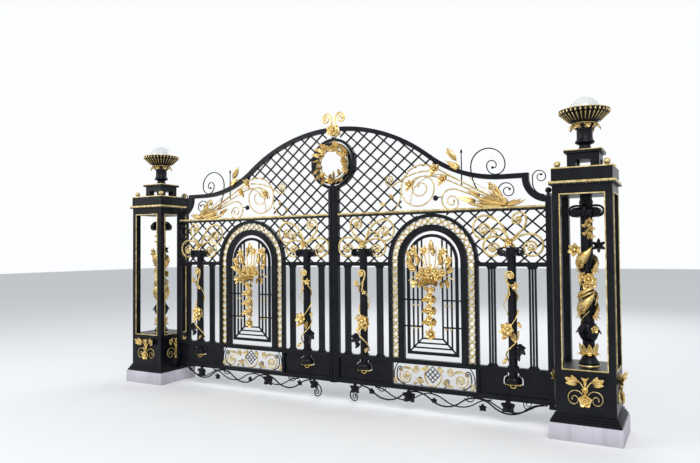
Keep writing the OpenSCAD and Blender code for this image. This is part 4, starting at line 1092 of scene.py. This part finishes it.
def postStars(forge):
    r = garland["shaft"]
    centre = outward(75) * 0.102 + up(1.620)
    star(forge, centre, 0.062, (0.2, -1, 0))
    bar(forge, [(centre.x, 1.62, 0), (0.06, 1.60, 0), (0.03, 1.58, 0)], 0.010, 0.010, centre.y + 0.004)
    turned(forge, [(r, 0.800), (0.068, 0.825), (0.078, 0.86), (0.074, 0.90), (0.064, 0.94), (r, 0.962)],
           spokes=48, ripple=lambda a, t: 1 + 0.10 * math.cos(6 * a + 5 * t) * math.sin(math.pi * t))
    for k in range(6):
        out = outward(60 * k + 24)
        leaf(forge, out * 0.062 + up(0.93), out * 0.35 + up(-0.9), out, 0.085, 0.060, 0.3, 0.35, 2)
        out = outward(60 * k + 54)
        leaf(forge, out * 0.060 + up(0.83), out * 0.25 + up(0.9), out, 0.075, 0.052, 0.3, 0.4, 2)
    for z, a in garland["darkStems"]:  # between the gilding
        helix(forge, r, z - 0.06, z + 0.07, a - 60, a + 60, 0.016, 0.7)


def volute(part):
    scroll(part, [(0, 20), (120, -30)] + coil(44, 5, -180, 0.7), (0.03, 1.962), 12, 0.02, 0.03, 0.0, 0.5, 0.8)
    scroll(part, [(40, -90)] + coil(26, 4, -180), (0.02, 2.035), -10, 0.009, 0.012, 0.0, 0.7)


eachPost(postGarland, "columnGarland", "gold", ["post_foliage"])
eachPost(postStars, "columnIvy", "iron")
eachPost(lambda forge: onFaces(forge, volute, 0), "columnVolutes", "iron")


# urn: radii and heights over its base

urnTurning = {
    "base": 2.445, "flutes": 32,
    "foot": ((0.0, 0), (0.066, 0), (0.067, 0.012), (0.052, 0.026), (0.048, 0.04), (0.049, 0.054),
             (0.074, 0.064), (0.081, 0.07), (0.081, 0.084), (0.070, 0.096), (0.067, 0.11), (0.066, 0.185),
             (0.076, 0.205), (0.088, 0.218), (0.09, 0.232), (0.098, 0.240)),
    "bowl": ((0.098, 0.240), (0.108, 0.248), (0.136, 0.274), (0.168, 0.304), (0.190, 0.324), (0.206, 0.330),
             (0.210, 0.338), (0.211, 0.348), (0.206, 0.354), (0.196, 0.352), (0.165, 0.318), (0.125, 0.276),
             (0.114, 0.259), (0.0, 0.258)),
    "slat": ((0.128, 0.258), (0.146, 0.275), (0.168, 0.296), (0.187, 0.314)),
    "globe": (0.136, 0.0884, 0.2594)}  # radius, how far its cut lies under the middle, height of the cut


def urnBody(forge):
    v = urnTurning
    turned(forge, [(r, v["base"] + h) for r, h in v["foot"]], spokes=48)
    turned(forge, [(r, v["base"] + h) for r, h in v["bowl"]], spokes=180,
           ripple=lambda a, t: 1 + (0.03 * math.cos(v["flutes"] * a) if 0.05 < t < 0.34 else 0))


def urnSlats(forge):  # pale ribs on the bowl, drops round its rim and the lines above and below them
    v = urnTurning
    for k in range(v["flutes"]):
        a = 360 * k / v["flutes"]
        out, across = outward(a + 90), outward(a + 180)
        grid, shade = [], []
        for i, (r, h) in enumerate(v["slat"]):
            half = 0.0014 + 0.0011 * i
            grid.append([out * (r + 0.007 - 0.003 * abs(j)) + across * (half * j) + up(v["base"] + h)
                         for j in (-1, 0, 1)])
            shade += [0.35, 0.0, 0.35]
        skin(forge, grid, 0.004, shade)
        bud(forge, out * 0.203 + up(v["base"] + 0.322), out * 0.28 + up(1), 0.028, 0.0095, 2)
    for low, high, r in ((0.351, 0.357, 0.212), (0.2335, 0.2395, 0.106)):
        line = ((-0.012, low), (0, low), (0.003, (low + high) / 2), (0, high), (-0.012, high))
        turned(forge, [(r + off, v["base"] + h) for off, h in line], spokes=64)


def urnGold(forge):  # leaves that curl out and down under the bowl
    base = urnTurning["base"]
    for k in range(8):
        out = outward(45 * k + 22)
        leaf(forge, out * 0.080 + up(base + 0.228), out * 0.9 + up(0.1), out * 0.3 + up(1), 0.075, 0.062, 0.3,
             -1.3, 3, 0.22, 0.004, 10)
        leaf(forge, out * 0.072 + up(base + 0.19), out * 0.45 + up(0.8), out, 0.055, 0.04, 0.3, 0.6, 2, 0.2)


def globe(forge):
    radius, sink, cut = urnTurning["globe"]
    low = math.asin(-sink / radius)
    arc = [low + (math.pi / 2 - low) * k / 27 for k in range(27)]
    profile = [(0, -sink)] + [(radius * math.cos(a), radius * math.sin(a)) for a in arc] + [(0, radius)]
    turned(forge, profile, up(urnTurning["base"] + cut + sink), 56)


eachPost(urnBody, "urnIron", "iron", ["urns"])
eachPost(urnGold, "urnGilding", "gold")
eachPost(urnSlats, "urnSlats", "champagne")
eachPost(globe, "lampGlobes", "globe", ["globes"])
print("posts dressed")


# floor, sky and lamps; a lamp has place, aim, size and power

studio = {
    "floor": (0.86, 0.86, 0.865), "edges": (-40, 45), "sky": (0.90, 0.95, 1.0), "skyLight": 0.62,
    "backdrop": (0.97, 0.985, 1.0),
    "lamps": {"skyKey": ((7.5, -7.5, 8.0), (2.5, 0, 1.3), 5.0, 620),
              "skyFill": ((-4.5, -6.0, 5.5), (2.5, 0, 1.4), 5.0, 260),
              "skyBack": ((2.5, 8.0, 7.0), (2.5, 0, 1.4), 6.0, 260)}}


def makeFloor(v):
    low, high = v["edges"]
    mesh = bpy.data.meshes.new("studioFloor")
    mesh.from_pydata([(low, low, 0), (high, low, 0), (high, high, 0), (low, high, 0)], [], [(0, 1, 2, 3)])
    mesh.materials.append(newShader("floorPaint").finish(Base_Color=v["floor"], Roughness=0.8))
    addObject("studioFloor", mesh)


def makeSky(v):  # what the camera and shining surfaces see is paler than what lights the scene
    world = bpy.data.worlds.new("studioSky")
    bpy.context.scene.world = world
    s = Shader(world)
    seen = s.node("LightPath", output="Is Camera Ray")
    for kind in ("Is Glossy Ray", "Is Transmission Ray"):
        seen = (seen + s.node("LightPath", output=kind)).clamp()
    s.node("OutputWorld", Surface=s.node(
        "MixShader", i0=seen, i1=s.node("Background", Color=v["sky"], Strength=v["skyLight"]),
        i2=s.node("Background", Color=v["backdrop"], Strength=1.0)))


def makeLamp(name, place, aim, size, power):
    light = bpy.data.lights.new(name, "AREA")
    light.shape, light.size, light.energy = "SQUARE", size, power
    lamp = addObject(name, light)
    lamp.location = place
    lamp.rotation_euler = (Vector(aim) - Vector(place)).to_track_quat("-Z", "Y").to_euler()


makeFloor(studio)
makeSky(studio)
for name, lamp in studio["lamps"].items():
    makeLamp(name, *lamp)
bpy.context.scene.view_settings.view_transform = "Standard"
print("stage set")
